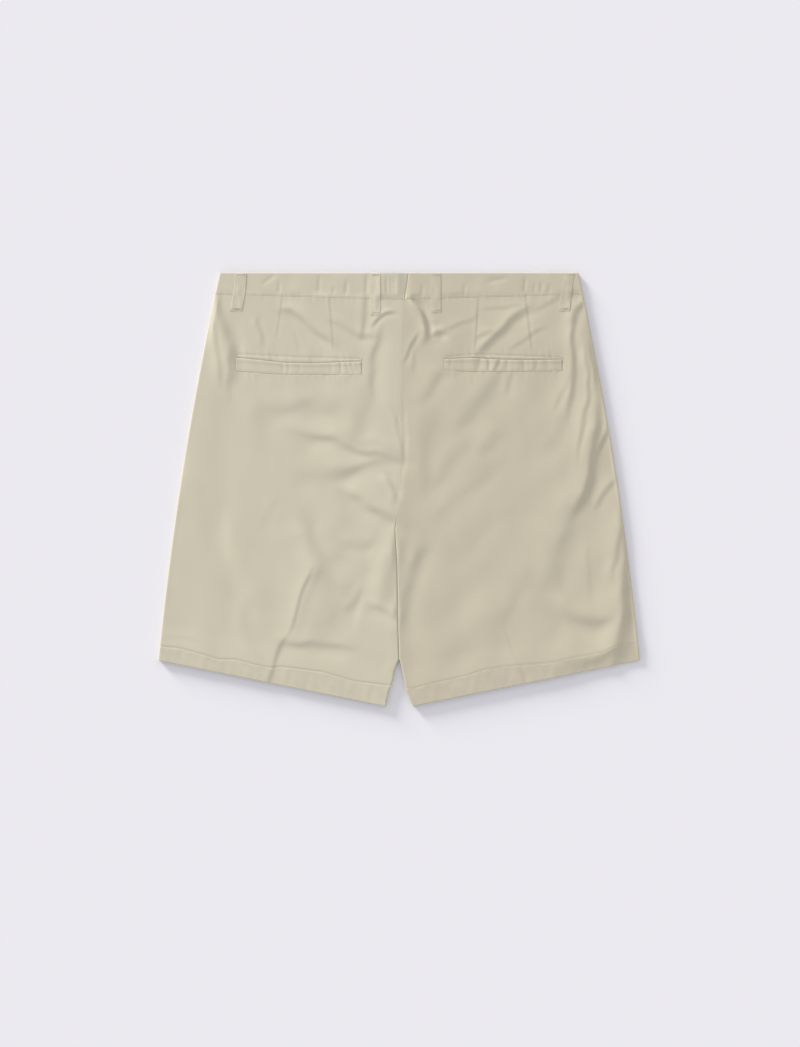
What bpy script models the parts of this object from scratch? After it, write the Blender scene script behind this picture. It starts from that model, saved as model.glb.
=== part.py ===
"""Bermuda shorts laid out flat, back upwards, as one closed solid for each cut piece.

Metres, +Z up. +Y runs from the hems to the waistband and +X to the wearer's right.
The origin is on the surface that the shorts lie on, under the middle of their outline.

Every panel is a wall of cloth between two grids of points: an outer one on the form of the
laid-out garment and an inner one a wall's thickness inside it. The fronts lie flat on the
surface, the backs lie on them, and both turn to half the height at the sides and inseams.
"""

import math
from collections import namedtuple

import bmesh
import bpy
import numpy as np

MM = 0.001

# Outline of the garment as it lies
WAIST_EDGE_Y = 0.2595
HEM_SIDE_Y = -0.2046
HEM_INSEAM_Y = -0.2595
SIDE_HALF_WIDTH = 0.2629
SIDE_SLOPE = -0.15139
SIDE_BEND = -0.1294

# The centre back seam runs into the two inseams, which part just above the hems
Inseam = namedtuple("Inseam", "y left right")
INSEAM_LINE = (
    Inseam(0.2600, 0.0110, 0.0110),
    Inseam(0.2290, 0.0065, 0.0065),
    Inseam(0.1320, 0.0048, 0.0048),
    Inseam(0.0860, 0.0035, 0.0035),
    Inseam(0.0400, 0.0035, 0.0035),
    Inseam(-0.0180, -0.0003, -0.0003),
    Inseam(-0.0480, -0.0049, -0.0049),
    Inseam(-0.0940, -0.0023, -0.0023),
    Inseam(-0.1710, -0.0011, -0.0011),
    Inseam(-0.2034, 0.0000, 0.0000),
    Inseam(-0.2106, -0.0030, 0.0024),
    Inseam(-0.2166, -0.0053, 0.0036),
    Inseam(-0.2286, -0.0072, 0.0060),
    Inseam(-0.2406, -0.0120, 0.0084),
    Inseam(-0.2526, -0.0144, 0.0132),
    Inseam(-0.2598, -0.0156, 0.0168),
)
CROTCH_START_Y = -0.030
CROTCH_END_Y = -0.060

# Cloth
CLOTH = 1.2 * MM
HEM_CLOTH = 1.8 * MM
WAISTBAND_CLOTH = 1.6 * MM
LOOP_CLOTH = 1.0 * MM
WELT_CLOTH = 0.8 * MM
SEAM_GAP = 0.3 * MM
LEG_GAP = 0.5 * MM
TURN = 2.4 * MM
TURN_ANGLES = tuple(math.radians(angle) for angle in (0.0, 22.5, 45.0, 67.5))

# Heights of the upper side above the surface. The right hem's outer corner lies lower.
BODY_TOP = 5.0 * MM
EDGE_TOP = 5.6 * MM
RIGHT_EDGE_TOP = 6.6 * MM
CORNER_TOP = 4.4 * MM
CORNER_START_Y = -0.060
CORNER_RUN = 0.090
HEM_TOP = 5.5 * MM
HEM_EDGE_TOP = 4.3 * MM
WAIST_SEAM_TOP = 5.0 * MM
WAISTBAND_TOP = 5.4 * MM
LOWEST_TOP = 2.9 * MM
LOWEST_HEM_TOP = 4.0 * MM
SOFT_FLOOR = 0.4 * MM
SIDE_RISE = 25.0 * MM
INSEAM_RISE = 18.0 * MM
HEM_RISE = 12.0 * MM
WAIST_RISE = 15.0 * MM
FOLD_MARGIN = 7.0 * MM
HEM_STIFFNESS = 0.5

# Relief that is worked in the upper points alone
DART_DEPTH = 0.5 * MM
DART_REACH = 1.6 * MM
DART_FADE = 20.0 * MM
FELL_HEIGHT = 0.5 * MM
FELL_WIDTH = 8.0 * MM
FELL_STEP = 1.5 * MM
FELL_END_Y = 0.083
FELL_FADE = 0.020
HEM_STEP = 0.2 * MM
HEM_STEP_RUN = 1.5 * MM
OPENING_DEPTH = 0.6 * MM

# Rows of the backs: where each meets the side and where it meets the centre line or inseam.
# "divisions" are the even steps from the row before.
Row = namedtuple("Row", "name side inner divisions")
ROWS = (
    Row("waist seam", 0.2332, 0.2275, 0),
    Row("loop end", 0.2135, 0.2085, 2),
    Row("pocket frame", 0.1605, 0.1585, 5),
    Row("pocket opening", 0.1555, 0.1535, 1),
    Row("pocket foot", 0.1415, 0.1395, 1),
    Row("hem line", -0.1840, -0.2375, 36),
    Row("hem step", -0.1855, -0.2390, 1),
    Row("hem middle", -0.1950, -0.2490, 1),
    Row("hem edge", HEM_SIDE_Y, HEM_INSEAM_Y, 1),
)

# Columns of the backs from the centre to the side: x at the waistband's upper edge, at the
# waist seam and at the pocket opening. Those without a top are not in the waistband.
Column = namedtuple("Column", "name top waist pocket")
LEFT_COLUMNS = (
    Column("fell step", None, -0.0018, -0.0030),
    Column("fell", -0.0010, -0.0033, -0.0045),
    Column("centre", -0.0120, -0.0120, -0.0130),
    Column("centre left loop, inner", -0.0228, -0.0228, -0.0220),
    Column("centre left loop, outer", -0.0348, -0.0348, -0.0330),
    Column("panel", None, -0.0440, -0.0390),
    Column("pocket, inner end", -0.0510, -0.0520, -0.0450),
    Column("panel", None, -0.0600, -0.0530),
    Column("panel", -0.0660, -0.0680, -0.0610),
    Column("inner dart, edge", None, -0.0814, -0.0754),
    Column("inner dart", -0.0820, -0.0834, -0.0774),
    Column("inner dart, far edge", None, -0.0854, -0.0794),
    Column("panel", None, -0.0920, -0.0880),
    Column("panel", None, -0.0990, -0.0970),
    Column("panel", None, -0.1055, -0.1050),
    Column("panel", -0.1090, -0.1120, -0.1130),
    Column("panel", None, -0.1200, -0.1215),
    Column("panel", None, -0.1290, -0.1340),
    Column("outer dart, edge", None, -0.1384, -0.1455),
    Column("outer dart", -0.1370, -0.1404, -0.1475),
    Column("outer dart, far edge", None, -0.1424, -0.1495),
    Column("panel", None, -0.1500, -0.1570),
    Column("panel", None, -0.1600, -0.1670),
    Column("panel", -0.1670, -0.1720, -0.1790),
    Column("side left loop, inner", -0.1820, -0.1860, -0.1950),
    Column("side left loop, outer", -0.1956, -0.2016, -0.2100),
    Column("side", -0.2040, -0.2100, -0.2220),
)
RIGHT_COLUMNS = (
    Column("centre", None, 0.0150, 0.0130),
    Column("centre", 0.0255, 0.0260, 0.0230),
    Column("centre right loop, inner", 0.0378, 0.0378, 0.0340),
    Column("centre right loop, outer", 0.0498, 0.0498, 0.0450),
    Column("panel", None, 0.0560, 0.0500),
    Column("pocket, inner end", 0.0610, 0.0620, 0.0550),
    Column("panel", 0.0750, 0.0760, 0.0700),
    Column("panel", None, 0.0840, 0.0790),
    Column("inner dart, edge", None, 0.0928, 0.0892),
    Column("inner dart", 0.0930, 0.0948, 0.0912),
    Column("inner dart, far edge", None, 0.0968, 0.0932),
    Column("panel", 0.1070, 0.1090, 0.1080),
    Column("panel", None, 0.1220, 0.1220),
    Column("panel", 0.1340, 0.1360, 0.1400),
    Column("panel", None, 0.1430, 0.1490),
    Column("outer dart, edge", None, 0.1500, 0.1576),
    Column("outer dart", 0.1510, 0.1520, 0.1596),
    Column("outer dart, far edge", None, 0.1540, 0.1616),
    Column("panel", None, 0.1640, 0.1665),
    Column("panel", 0.1740, 0.1740, 0.1715),
    Column("panel", None, 0.1840, 0.1765),
    Column("side right loop, inner", 0.1986, 0.1945, 0.1820),
    Column("side right loop, outer", 0.2085, 0.2070, 0.1950),
    Column("side", None, 0.2110, 0.2080),
    Column("side", None, 0.2130, 0.2145),
    Column("side", None, 0.2150, 0.2210),
)
EVEN_COLUMNS_Y = 0.020
FRONT_COLUMNS = 7
FRONT_ROW_STEP = 2

# Darts: where each starts at the waist seam and where it ends above the pocket
Dart = namedtuple("Dart", "side waist_x waist_y tip_x tip_y")
DARTS = (
    Dart(-1, -0.0834, 0.2310, -0.0774, 0.1600),
    Dart(-1, -0.1404, 0.2325, -0.1464, 0.1850),
    Dart(1, 0.0948, 0.2315, 0.0912, 0.1640),
    Dart(1, 0.1520, 0.2330, 0.1590, 0.1640),
)

# Folds of the backs, in millimetres. Each runs from start through middle to end with its high
# side on the left: the cloth falls over the steep width from raised to sunk, and eases back to
# the flat over the crest and the foot.
Fold = namedtuple("Fold", "name start middle end steep raised sunk crest foot")
FOLDS = (
    Fold("upper seat", (-162, 95), (-82, 66), (14, 33), 5.6, 1.9, 1.7, 26, 13),
    Fold("middle seat", (-98, 10), (-42, 28), (20, 36), 6.5, 1.8, 1.7, 13, 16),
    Fold("middle seat drop", (-140, 20), (-88, 18), (-36, 26), 12, 1.8, 1.8, 18, 22),
    Fold("lower seat", (-70, 2), (-32, -22), (10, -46), 5.0, 2.4, 2.0, 17, 15),
    Fold("under seat", (-132, -50), (-106, -57), (-78, -76), 7.5, 1.7, 1.6, 16, 14),
    Fold("under seat end", (-110, -64), (-84, -78), (-52, -102), 8, 2.2, 2.0, 16, 14),
    Fold("pressed crease", (-142, -192), (-119, -132), (-95, -76), 5, 0.9, 0.9, 12, 10),
    Fold("pressed crease foot", (-176, -268), (-148, -202), (-130, -162), 5, 1.4, 1.5, 10, 14),
    Fold("crease plateau", (-106, -196), (-80, -136), (-60, -78), 20, 2.4, 1.8, 26, 20),
    Fold("crease spot", (-78, -154), (-56, -132), (-34, -104), 6, 1.4, 1.5, 12, 8),
    Fold("inseam wedge", (-24, -150), (-14, -106), (-4, -54), 6, 2.0, 1.9, 18, 11),
    Fold("above hem", (-166, -178), (-98, -185), (-34, -187), 5, 1.7, 1.6, 15, 12),
    Fold("long ridge", (-212, -6), (-197, -90), (-150, -182), 11, 1.9, 1.7, 24, 22),
    Fold("seat side", (-157, 8), (-163, 66), (-166, 128), 10, 0.9, 0.9, 22, 20),
    Fold("inner hip", (-198, 130), (-204, 196), (-228, 280), 6, 3.0, 2.1, 12, 10),
    Fold("seat hollow", (-34, 106), (-30, 150), (-28, 196), 5, 1.4, 1.6, 15, 13),
    Fold("seat hollow foot", (-62, 48), (-41, 98), (-28, 140), 7, 1.7, 1.9, 18, 16),
    Fold("loop wedge", (-88, 210), (-50, 190), (-18, 170), 5, 1.3, 1.3, 10, 10),
    Fold("dart drag", (-166, 240), (-118, 205), (-78, 168), 5, 1.6, 1.5, 10, 10),
    Fold("under pocket", (-182, 92), (-115, 105), (-46, 96), 9, 1.4, 1.5, 20, 15),
    Fold("seam hollow", (20, -26), (30, 44), (32, 116), 10, 2.0, 1.9, 14, 22),
    Fold("waist drag", (2, 262), (27, 212), (49, 180), 5, 2.1, 2.1, 10, 9),
    Fold("big drag", (86, 150), (121, 190), (164, 223), 5, 2.2, 2.0, 12, 14),
    Fold("hip line", (213, 78), (206, 150), (222, 275), 5, 1.6, 1.0, 10, 9),
    Fold("side fold upper", (243, 76), (231, 150), (222, 290), 6.5, 3.0, 2.0, 16, 9),
    Fold("side fold middle", (208, -38), (238, 48), (239, 146), 8, 6.0, 2.4, 32, 15),
    Fold("side fold lower", (182, -130), (196, -58), (230, 16), 8, 4.3, 2.2, 28, 17),
    Fold("edge fall", (270, -206), (269, -122), (275, -34), 7, 3.4, 1.9, 17, 11),
    Fold("corner", (180, -208), (238, -194), (288, -166), 6, 2.6, 1.7, 17, 13),
    Fold("above hem right", (158, -125), (212, -150), (276, -156), 8.5, 3.0, 2.5, 24, 17),
    Fold("side swell", (174, 40), (192, 68), (208, 100), 8, 1.3, 1.1, 16, 14),
    Fold("ripple one", (60, 60), (91, 101), (128, 149), 6.3, 1.8, 1.8, 17, 17),
    Fold("ripple nought", (24, 96), (38, 124), (57, 149), 8, 1.2, 1.1, 14, 16),
    Fold("ripple three", (28, -10), (62, 32), (100, 78), 8.5, 1.2, 1.1, 16, 16),
    Fold("ripple four", (22, -54), (76, -8), (132, 46), 8.5, 1.2, 1.1, 18, 16),
    Fold("ripple five", (56, -98), (102, -50), (158, 2), 9.5, 1.3, 1.2, 18, 18),
    Fold("ripple six", (110, -184), (146, -124), (186, -70), 11, 1.6, 1.5, 22, 20),
    Fold("inseam trough", (6, -192), (14, -122), (42, -46), 7, 1.6, 2.4, 11, 20),
)
# Share of a fold's length over which each end fades, and the steepest slope of its curve
LEAST_FADE = 0.3
MOST_FADE = 0.5
STEEPEST_BEND = 1.5

# Waistband: the back seam leans, and the front closes over a button in the surface's plane
WAISTBAND_BACK_TOP_X = 0.0116
WAISTBAND_BACK_FOOT_X = 0.0070
WAISTBAND_FRONT_X = 0.0080
WAISTBAND_FRONT_STEP = 0.040
WAISTBAND_ROWS = (1.0, 0.5, 0.0)
WAISTBAND_TURN_STEPS = 8
BUTTON_X = -0.0115
BUTTON_RADIUS = 8.5 * MM
BUTTON_HEIGHT = 2.2 * MM
BUTTON_RIM = 0.5 * MM
BUTTON_SIDES = 24
BUTTON_FLAT = 9.5 * MM
BUTTON_SPREAD = 19.0 * MM
BUTTON_BACK_RISE = 1.1 * MM

CLOTH_COLOUR = (0.604, 0.558, 0.440, 1.0)
BUTTON_COLOUR = (0.130, 0.085, 0.050, 1.0)


def smooth(value):
    """Ease from 0 to 1 as value goes from 0 to 1."""
    value = np.clip(value, 0.0, 1.0)
    return value * value * (3.0 - 2.0 * value)


def half_width(y):
    """Distance from x = 0 to the side edge."""
    return SIDE_HALF_WIDTH + SIDE_SLOPE * y + SIDE_BEND * y**2


def side_columns(side):
    """The column table of one side."""
    return LEFT_COLUMNS if side < 0 else RIGHT_COLUMNS


def leg_share(y):
    """0 above the crotch, where the two backs are sewn together, and 1 where the legs part."""
    return smooth((CROTCH_START_Y - y) / (CROTCH_START_Y - CROTCH_END_Y))


def inner_edge(side, y):
    """The panel's edge at the centre seam or at the inseam, less its share of the gap."""
    rows = INSEAM_LINE[::-1]
    edge = [row.left if side < 0 else row.right for row in rows]
    gap = SEAM_GAP + (LEG_GAP - SEAM_GAP) * leg_share(y)
    return np.interp(y, [row.y for row in rows], edge) + side * gap / 2


def row_y(name, across):
    """Height of a named row at a share of the way from the centre (0) to the side (1)."""
    row = next(row for row in ROWS if row.name == name)
    return row.inner + (row.side - row.inner) * across


def across_panel(x, y):
    """Share of the way from x = 0 (0) to the side edge (1)."""
    return np.clip(np.abs(x) / half_width(y), 0.0, 1.0)


def hem_step(across, y):
    """0 above the hem line and 1 below it, where the cloth is doubled."""
    return smooth((row_y("hem line", across) - y) / HEM_STEP_RUN)


def fold_height(fold, x, y):
    """The swell of one fold, which falls from its high to its low side along a curved line.

    The line is a parabola over the chord from start to end that passes through middle. Distances
    off it are positive on the high side.
    """
    start, middle, end = (np.array(point) * MM for point in (fold.start, fold.middle, fold.end))
    length = np.linalg.norm(end - start)
    along = (end - start) / length
    u = (x - start[0]) * along[0] + (y - start[1]) * along[1]
    v = (y - start[1]) * along[0] - (x - start[0]) * along[1]
    bend_u = (middle - start) @ along
    bend_v = (middle[1] - start[1]) * along[0] - (middle[0] - start[0]) * along[1]
    bend = bend_v / (bend_u * (length - bend_u))
    slope = np.clip(bend * (length - 2 * u), -STEEPEST_BEND, STEEPEST_BEND)
    off_line = (v - bend * u * (length - u)) / np.hypot(1.0, slope)
    fade = np.clip(max(fold.crest, fold.foot) * MM / length, LEAST_FADE, MOST_FADE)
    ends = smooth(u / length / fade) * smooth((1.0 - u / length) / fade)
    high = 0.5 + 0.5 * np.tanh(off_line / (fold.steep * MM))
    fall = fold.raised * high - fold.sunk * (1.0 - high)
    reach = np.where(off_line > 0, fold.crest, fold.foot) * MM
    return fall * MM * ends * np.exp(-((off_line / reach) ** 2))


def side_top(side, y):
    """Height of the garment at a side edge, which lies lower at the right hem's corner."""
    if side < 0:
        return np.full(np.shape(y), EDGE_TOP)
    corner = smooth((CORNER_START_Y - y) / CORNER_RUN)
    return RIGHT_EDGE_TOP + (CORNER_TOP - RIGHT_EDGE_TOP) * corner


def form(side, x, y):
    """Height of the upper side of a back without its sewn relief.

    The folds fade at the sides, the inseams and the waistband, and are weaker on the stiff hem.
    """
    to_side = half_width(y) - TURN - np.abs(x)
    to_inner = side * (x - inner_edge(side, y)) - TURN
    leg = leg_share(y)
    across = across_panel(x, y)
    top = np.full(np.shape(x), BODY_TOP)
    top = top + (side_top(side, y) - top) * smooth(1.0 - to_side / SIDE_RISE)
    top = top + (EDGE_TOP - top) * smooth(1.0 - to_inner / INSEAM_RISE) * leg
    hem_y, edge_y = row_y("hem line", across), row_y("hem edge", across)
    hem = smooth(1.0 - (y - hem_y) / HEM_RISE)
    down_hem = np.clip((hem_y - y) / (hem_y - edge_y), 0.0, 1.0)
    waist = smooth(1.0 - (row_y("waist seam", across) - y) / WAIST_RISE)
    top = top + (HEM_TOP + (HEM_EDGE_TOP - HEM_TOP) * down_hem - top) * hem
    top = top + (WAIST_SEAM_TOP - top) * waist
    clear = smooth(to_side / FOLD_MARGIN) * (1.0 - leg * (1.0 - smooth(to_inner / FOLD_MARGIN)))
    folds = sum(fold_height(fold, x, y) for fold in FOLDS)
    height = top + folds * clear * (1.0 - HEM_STIFFNESS * hem) * (1.0 - waist)
    lowest = LOWEST_TOP + (LOWEST_HEM_TOP - LOWEST_TOP) * hem
    return lowest + SOFT_FLOOR * np.logaddexp(0.0, (height - lowest) / SOFT_FLOOR)


def relief(side, x, y):
    """Sewn detail on the upper points: darts, felled centre seam, pocket mouth and hem step."""
    raised = np.zeros(x.shape)
    across = across_panel(x, y)
    for dart in DARTS:
        if dart.side == side:
            share = np.clip((dart.waist_y - y) / (dart.waist_y - dart.tip_y), 0.0, 1.0)
            off_line = x - (dart.waist_x + (dart.tip_x - dart.waist_x) * share)
            fade = smooth((y - dart.tip_y) / DART_FADE)
            raised = raised - DART_DEPTH * fade * np.exp(-((off_line / DART_REACH) ** 2))
    if side < 0:
        inside = (x - (inner_edge(side, y) - FELL_WIDTH - FELL_STEP)) / FELL_STEP
        raised = raised + FELL_HEIGHT * smooth(inside) * smooth((y - FELL_END_Y) / FELL_FADE)
    return raised + HEM_STEP * hem_step(across, y)


def row_pairs():
    """Every row of a back as its y at the side and at the centre, and its name if it has one."""
    pairs = [(ROWS[0].side, ROWS[0].inner, ROWS[0].name)]
    for before, row in zip(ROWS[:-1], ROWS[1:]):
        for step in range(1, row.divisions + 1):
            share = step / row.divisions
            name = row.name if step == row.divisions else ""
            side = before.side + (row.side - before.side) * share
            inner = before.inner + (row.inner - before.inner) * share
            pairs.append((side, inner, name))
    return pairs


def share_across(side, x, y):
    """Where a point lies between the end of the inner turn (0) and of the side turn (1)."""
    start = inner_edge(side, y) + side * TURN
    end = side * (half_width(y) - TURN)
    return (x - start) / (end - start)


def back_shares(side, y):
    """Places of a back's columns at one height: by the table above, and even down the leg."""
    columns = side_columns(side)
    waist = row_y("waist seam", 0.5)
    pocket = row_y("pocket opening", 0.5)
    at_waist = np.array([share_across(side, column.waist, waist) for column in columns])
    at_pocket = np.array([share_across(side, column.pocket, pocket) for column in columns])
    even = np.arange(1, len(columns) + 1) / (len(columns) + 1)
    upper = np.clip((waist - y) / (waist - pocket), 0.0, 1.0)
    lower = smooth((pocket - y) / (pocket - EVEN_COLUMNS_Y))
    shares = at_waist + (at_pocket - at_waist) * upper
    return np.concatenate(([0.0], shares + (even - shares) * lower, [1.0]))


def panel_plan(side, rows, shares_at):
    """Plan of a panel: x and y of each point, inner turn first and side turn last."""
    plan = []
    for row_side, row_inner, _ in rows:
        middle_y = (row_side + row_inner) / 2
        shares = shares_at(middle_y)
        y = row_inner + (row_side - row_inner) * shares
        start = inner_edge(side, y) + side * TURN
        end = side * (half_width(y) - TURN)
        x = start + (end - start) * shares
        turned_in = [TURN * (1 - math.cos(angle)) for angle in TURN_ANGLES]
        x_inner = [inner_edge(side, row_inner) + side * inset for inset in turned_in]
        x_side = [side * (half_width(row_side) - inset) for inset in reversed(turned_in)]
        row_x = np.concatenate((x_inner, x, x_side))
        count = len(TURN_ANGLES)
        row_of_y = np.concatenate(([row_inner] * count, y, [row_side] * count))
        plan.append(np.stack((row_x, row_of_y), axis=1))
    return np.array(plan)


def surface_normals(points, upwards):
    """Unit normals of a grid of points, on the side that upwards gives (1 up, -1 down)."""
    along = np.gradient(points, axis=0)
    across = np.gradient(points, axis=1)
    normals = np.cross(across, along)
    normals = normals / np.linalg.norm(normals, axis=2, keepdims=True)
    return normals * np.sign(normals[..., 2:3]) * upwards


def turn_panel(points, normals, side, upwards, tops):
    """Turn a panel's two long edges towards half the height of the garment."""
    count = len(TURN_ANGLES)
    leg = leg_share(points[:, 0, 1])
    for place, angle in enumerate(TURN_ANGLES):
        for column, outward, share, top in (
            (place, -side, leg, tops[0]),
            (-1 - place, side, np.ones(len(points)), tops[1]),
        ):
            depth = top / 2
            fall = share * (depth - SEAM_GAP / 2) * (1 - math.sin(angle))
            points[:, column, 2] -= upwards * fall
            normals[:, column, 0] = outward * share * depth * math.cos(angle)
            normals[:, column, 1] = 0.0
            rise = share * TURN * math.sin(angle) + (1 - share) * TURN
            normals[:, column, 2] = upwards * rise
    for column in list(range(count)) + [-1 - place for place in range(count)]:
        normals[:, column] /= np.linalg.norm(normals[:, column], axis=1, keepdims=True)


def edge_tops(side, plan):
    """Height of the garment at the inner and the side turn of each row."""
    count = len(TURN_ANGLES)
    inner, outer = plan[:, count], plan[:, -1 - count]
    return form(side, inner[:, 0], inner[:, 1]), form(side, outer[:, 0], outer[:, 1])


def cloth_thickness(plan):
    """Wall thickness at each point, thicker where the hem is doubled."""
    hem = hem_step(across_panel(plan[..., 0], plan[..., 1]), plan[..., 1])
    return (CLOTH + (HEM_CLOTH - CLOTH) * hem)[..., None]


def back_grids(side):
    """Outer and inner points of a back, and the outer normals."""
    plan = panel_plan(side, row_pairs(), lambda y: back_shares(side, y))
    x, y = plan[..., 0], plan[..., 1]
    points = np.dstack((x, y, form(side, x, y)))
    normals = surface_normals(points, 1)
    turn_panel(points, normals, side, 1, edge_tops(side, plan))
    raised = relief(side, x, y)
    first, last = pocket_columns(side)
    raised[row_number("pocket opening"), first + 1 : last] -= OPENING_DEPTH
    return points + normals * raised[..., None], points - normals * cloth_thickness(plan), normals


def front_grids(side):
    """Outer and inner points of a front, which lies flat on the surface."""
    rows = row_pairs()
    kept = rows[:-3:FRONT_ROW_STEP] + rows[-3:]
    shares = np.linspace(0.0, 1.0, FRONT_COLUMNS)
    plan = panel_plan(side, kept, lambda _: shares)
    points = np.dstack((plan[..., 0], plan[..., 1], np.zeros(plan.shape[:2])))
    normals = np.zeros(points.shape)
    normals[..., 2] = -1.0
    turn_panel(points, normals, side, -1, edge_tops(side, plan))
    return points, points - normals * cloth_thickness(plan)


def column_number(side, name):
    """Number of a named column in a back's grid."""
    names = [column.name for column in side_columns(side)]
    return len(TURN_ANGLES) + 1 + names.index(name)


def pocket_columns(side):
    """First and last column of a pocket, from the centre outwards."""
    outer = "side left loop, inner" if side < 0 else "side right loop, outer"
    return column_number(side, "pocket, inner end"), column_number(side, outer)


def row_number(name):
    """Number of a named row in a back's grid."""
    return [row[2] for row in row_pairs()].index(name)


def button_rise(x, height):
    """A low swelling across the stiff waistband, over the waist button."""
    reach = np.abs(x - BUTTON_X)
    return height * smooth((BUTTON_SPREAD - reach) / (BUTTON_SPREAD - BUTTON_FLAT))


def front_band_x(side, start):
    """Places of the waistband's front points, from the side turn to the front closing."""
    end = WAISTBAND_FRONT_X + side * SEAM_GAP / 2
    steps = round(abs(end - start) / WAISTBAND_FRONT_STEP)
    places = [start + (end - start) * step / steps for step in range(steps)]
    if side > 0:
        return places + [end]
    swelling = [BUTTON_X + reach for reach in (-BUTTON_SPREAD, -BUTTON_FLAT, BUTTON_FLAT)]
    return [x for x in places if x < swelling[0] - BUTTON_RADIUS] + swelling + [end]


def waistband_row(side, height):
    """Points and normals of half a waistband at a share of its height, from back to front."""
    columns = [column for column in side_columns(side) if column.top is not None]
    foot = row_y("waist seam", 0.0) + SEAM_GAP
    side_foot = row_y("waist seam", 1.0) + SEAM_GAP
    tip = half_width(side_foot + (WAIST_EDGE_Y - side_foot) * height)
    turn_x = side * (tip - TURN)
    lean = (WAISTBAND_BACK_TOP_X - WAISTBAND_BACK_FOOT_X) * height
    upper = [WAISTBAND_BACK_FOOT_X + lean + side * SEAM_GAP / 2]
    upper += [column.waist + (column.top - column.waist) * height for column in columns]
    upper.append(turn_x)
    depth = WAISTBAND_TOP / 2
    section = [(x, WAISTBAND_TOP + button_rise(x, BUTTON_BACK_RISE), 0.0, 1.0) for x in upper]
    for step in range(1, WAISTBAND_TURN_STEPS):
        angle = math.pi * (0.5 - step / WAISTBAND_TURN_STEPS)
        out, up = math.cos(angle), math.sin(angle)
        section.append((turn_x + side * TURN * out, depth + depth * up, side * depth * out, TURN * up))
    for x in front_band_x(side, turn_x):
        section.append((x, button_rise(x, BUTTON_HEIGHT + SEAM_GAP), 0.0, -1.0))
    x, z, normal_x, normal_z = np.array(section).T
    edge = foot + (side_foot - foot) * np.clip(np.abs(x) / tip, 0.0, 1.0)
    points = np.stack((x, edge + (WAIST_EDGE_Y - edge) * height, z), axis=1)
    normals = np.stack((normal_x, np.zeros(len(x)), normal_z), axis=1)
    return points, normals / np.linalg.norm(normals, axis=1, keepdims=True)


def waistband_grids(side):
    """Outer and inner points of half a waistband, which runs round the side to the front."""
    rows = [waistband_row(side, height) for height in WAISTBAND_ROWS]
    points = np.array([row[0] for row in rows])
    normals = np.array([row[1] for row in rows])
    return points, points - normals * WAISTBAND_CLOTH


def wall(name, outer, inner, material):
    """A closed solid between two grids that have the same rows and columns."""
    rows, columns = outer.shape[:2]
    mesh = bmesh.new()
    skins = []
    for grid in (outer, inner):
        skins.append([[mesh.verts.new(point) for point in row] for row in grid])
    for row in range(rows - 1):
        for column in range(columns - 1):
            for skin in skins:
                corners = (
                    skin[row][column],
                    skin[row][column + 1],
                    skin[row + 1][column + 1],
                    skin[row + 1][column],
                )
                mesh.faces.new(corners)
    rim = [(0, column) for column in range(columns)]
    rim += [(row, columns - 1) for row in range(1, rows)]
    rim += [(rows - 1, column) for column in range(columns - 2, -1, -1)]
    rim += [(row, 0) for row in range(rows - 2, 0, -1)]
    for (row_a, column_a), (row_b, column_b) in zip(rim, rim[1:] + rim[:1]):
        corners = (
            skins[0][row_a][column_a],
            skins[0][row_b][column_b],
            skins[1][row_b][column_b],
            skins[1][row_a][column_a],
        )
        mesh.faces.new(corners)
    bmesh.ops.recalc_face_normals(mesh, faces=mesh.faces)
    return new_object(name, mesh, material)


def new_object(name, mesh, material):
    """Put a bmesh into the scene as a named object."""
    data = bpy.data.meshes.new(name)
    mesh.to_mesh(data)
    mesh.free()
    data.materials.append(material)
    made = bpy.data.objects.new(name, data)
    bpy.context.collection.objects.link(made)
    return made


def new_material(name, colour, roughness):
    """A Principled material of one colour."""
    material = bpy.data.materials.new(name)
    material.use_nodes = True
    shader = material.node_tree.nodes["Principled BSDF"]
    shader.inputs["Base Color"].default_value = colour
    shader.inputs["Roughness"].default_value = roughness
    return material


def laid_on(points, clearance, thickness):
    """Inner and outer grids of a strip that lies on the points given."""
    normals = surface_normals(points, 1)
    return points + normals * (clearance + thickness), points + normals * clearance


def pocket_welt(side, back, normals):
    """The strip that closes a pocket's mouth, on the panel between the opening and its foot."""
    first, last = pocket_columns(side)
    top, foot = row_number("pocket opening"), row_number("pocket foot")
    points = back[top : foot + 1, first : last + 1].copy()
    points[0, 1:-1] += normals[top, first + 1 : last] * OPENING_DEPTH
    return laid_on(points, SEAM_GAP, WELT_CLOTH)


def belt_loop(side, name, back, waistband):
    """A loop from the waistband's upper edge to its lower end on the panel."""
    banded = [column.name for column in side_columns(side) if column.top is not None]
    band = [1 + banded.index(f"{name} loop, {edge}") for edge in ("inner", "outer")]
    panel = [column_number(side, f"{name} loop, {edge}") for edge in ("inner", "outer")]
    on_band = waistband[:, band]
    on_panel = back[1 : row_number("loop end") + 1][:, panel]
    return laid_on(np.concatenate((on_band, on_panel)), SEAM_GAP, LOOP_CLOTH)


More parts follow.
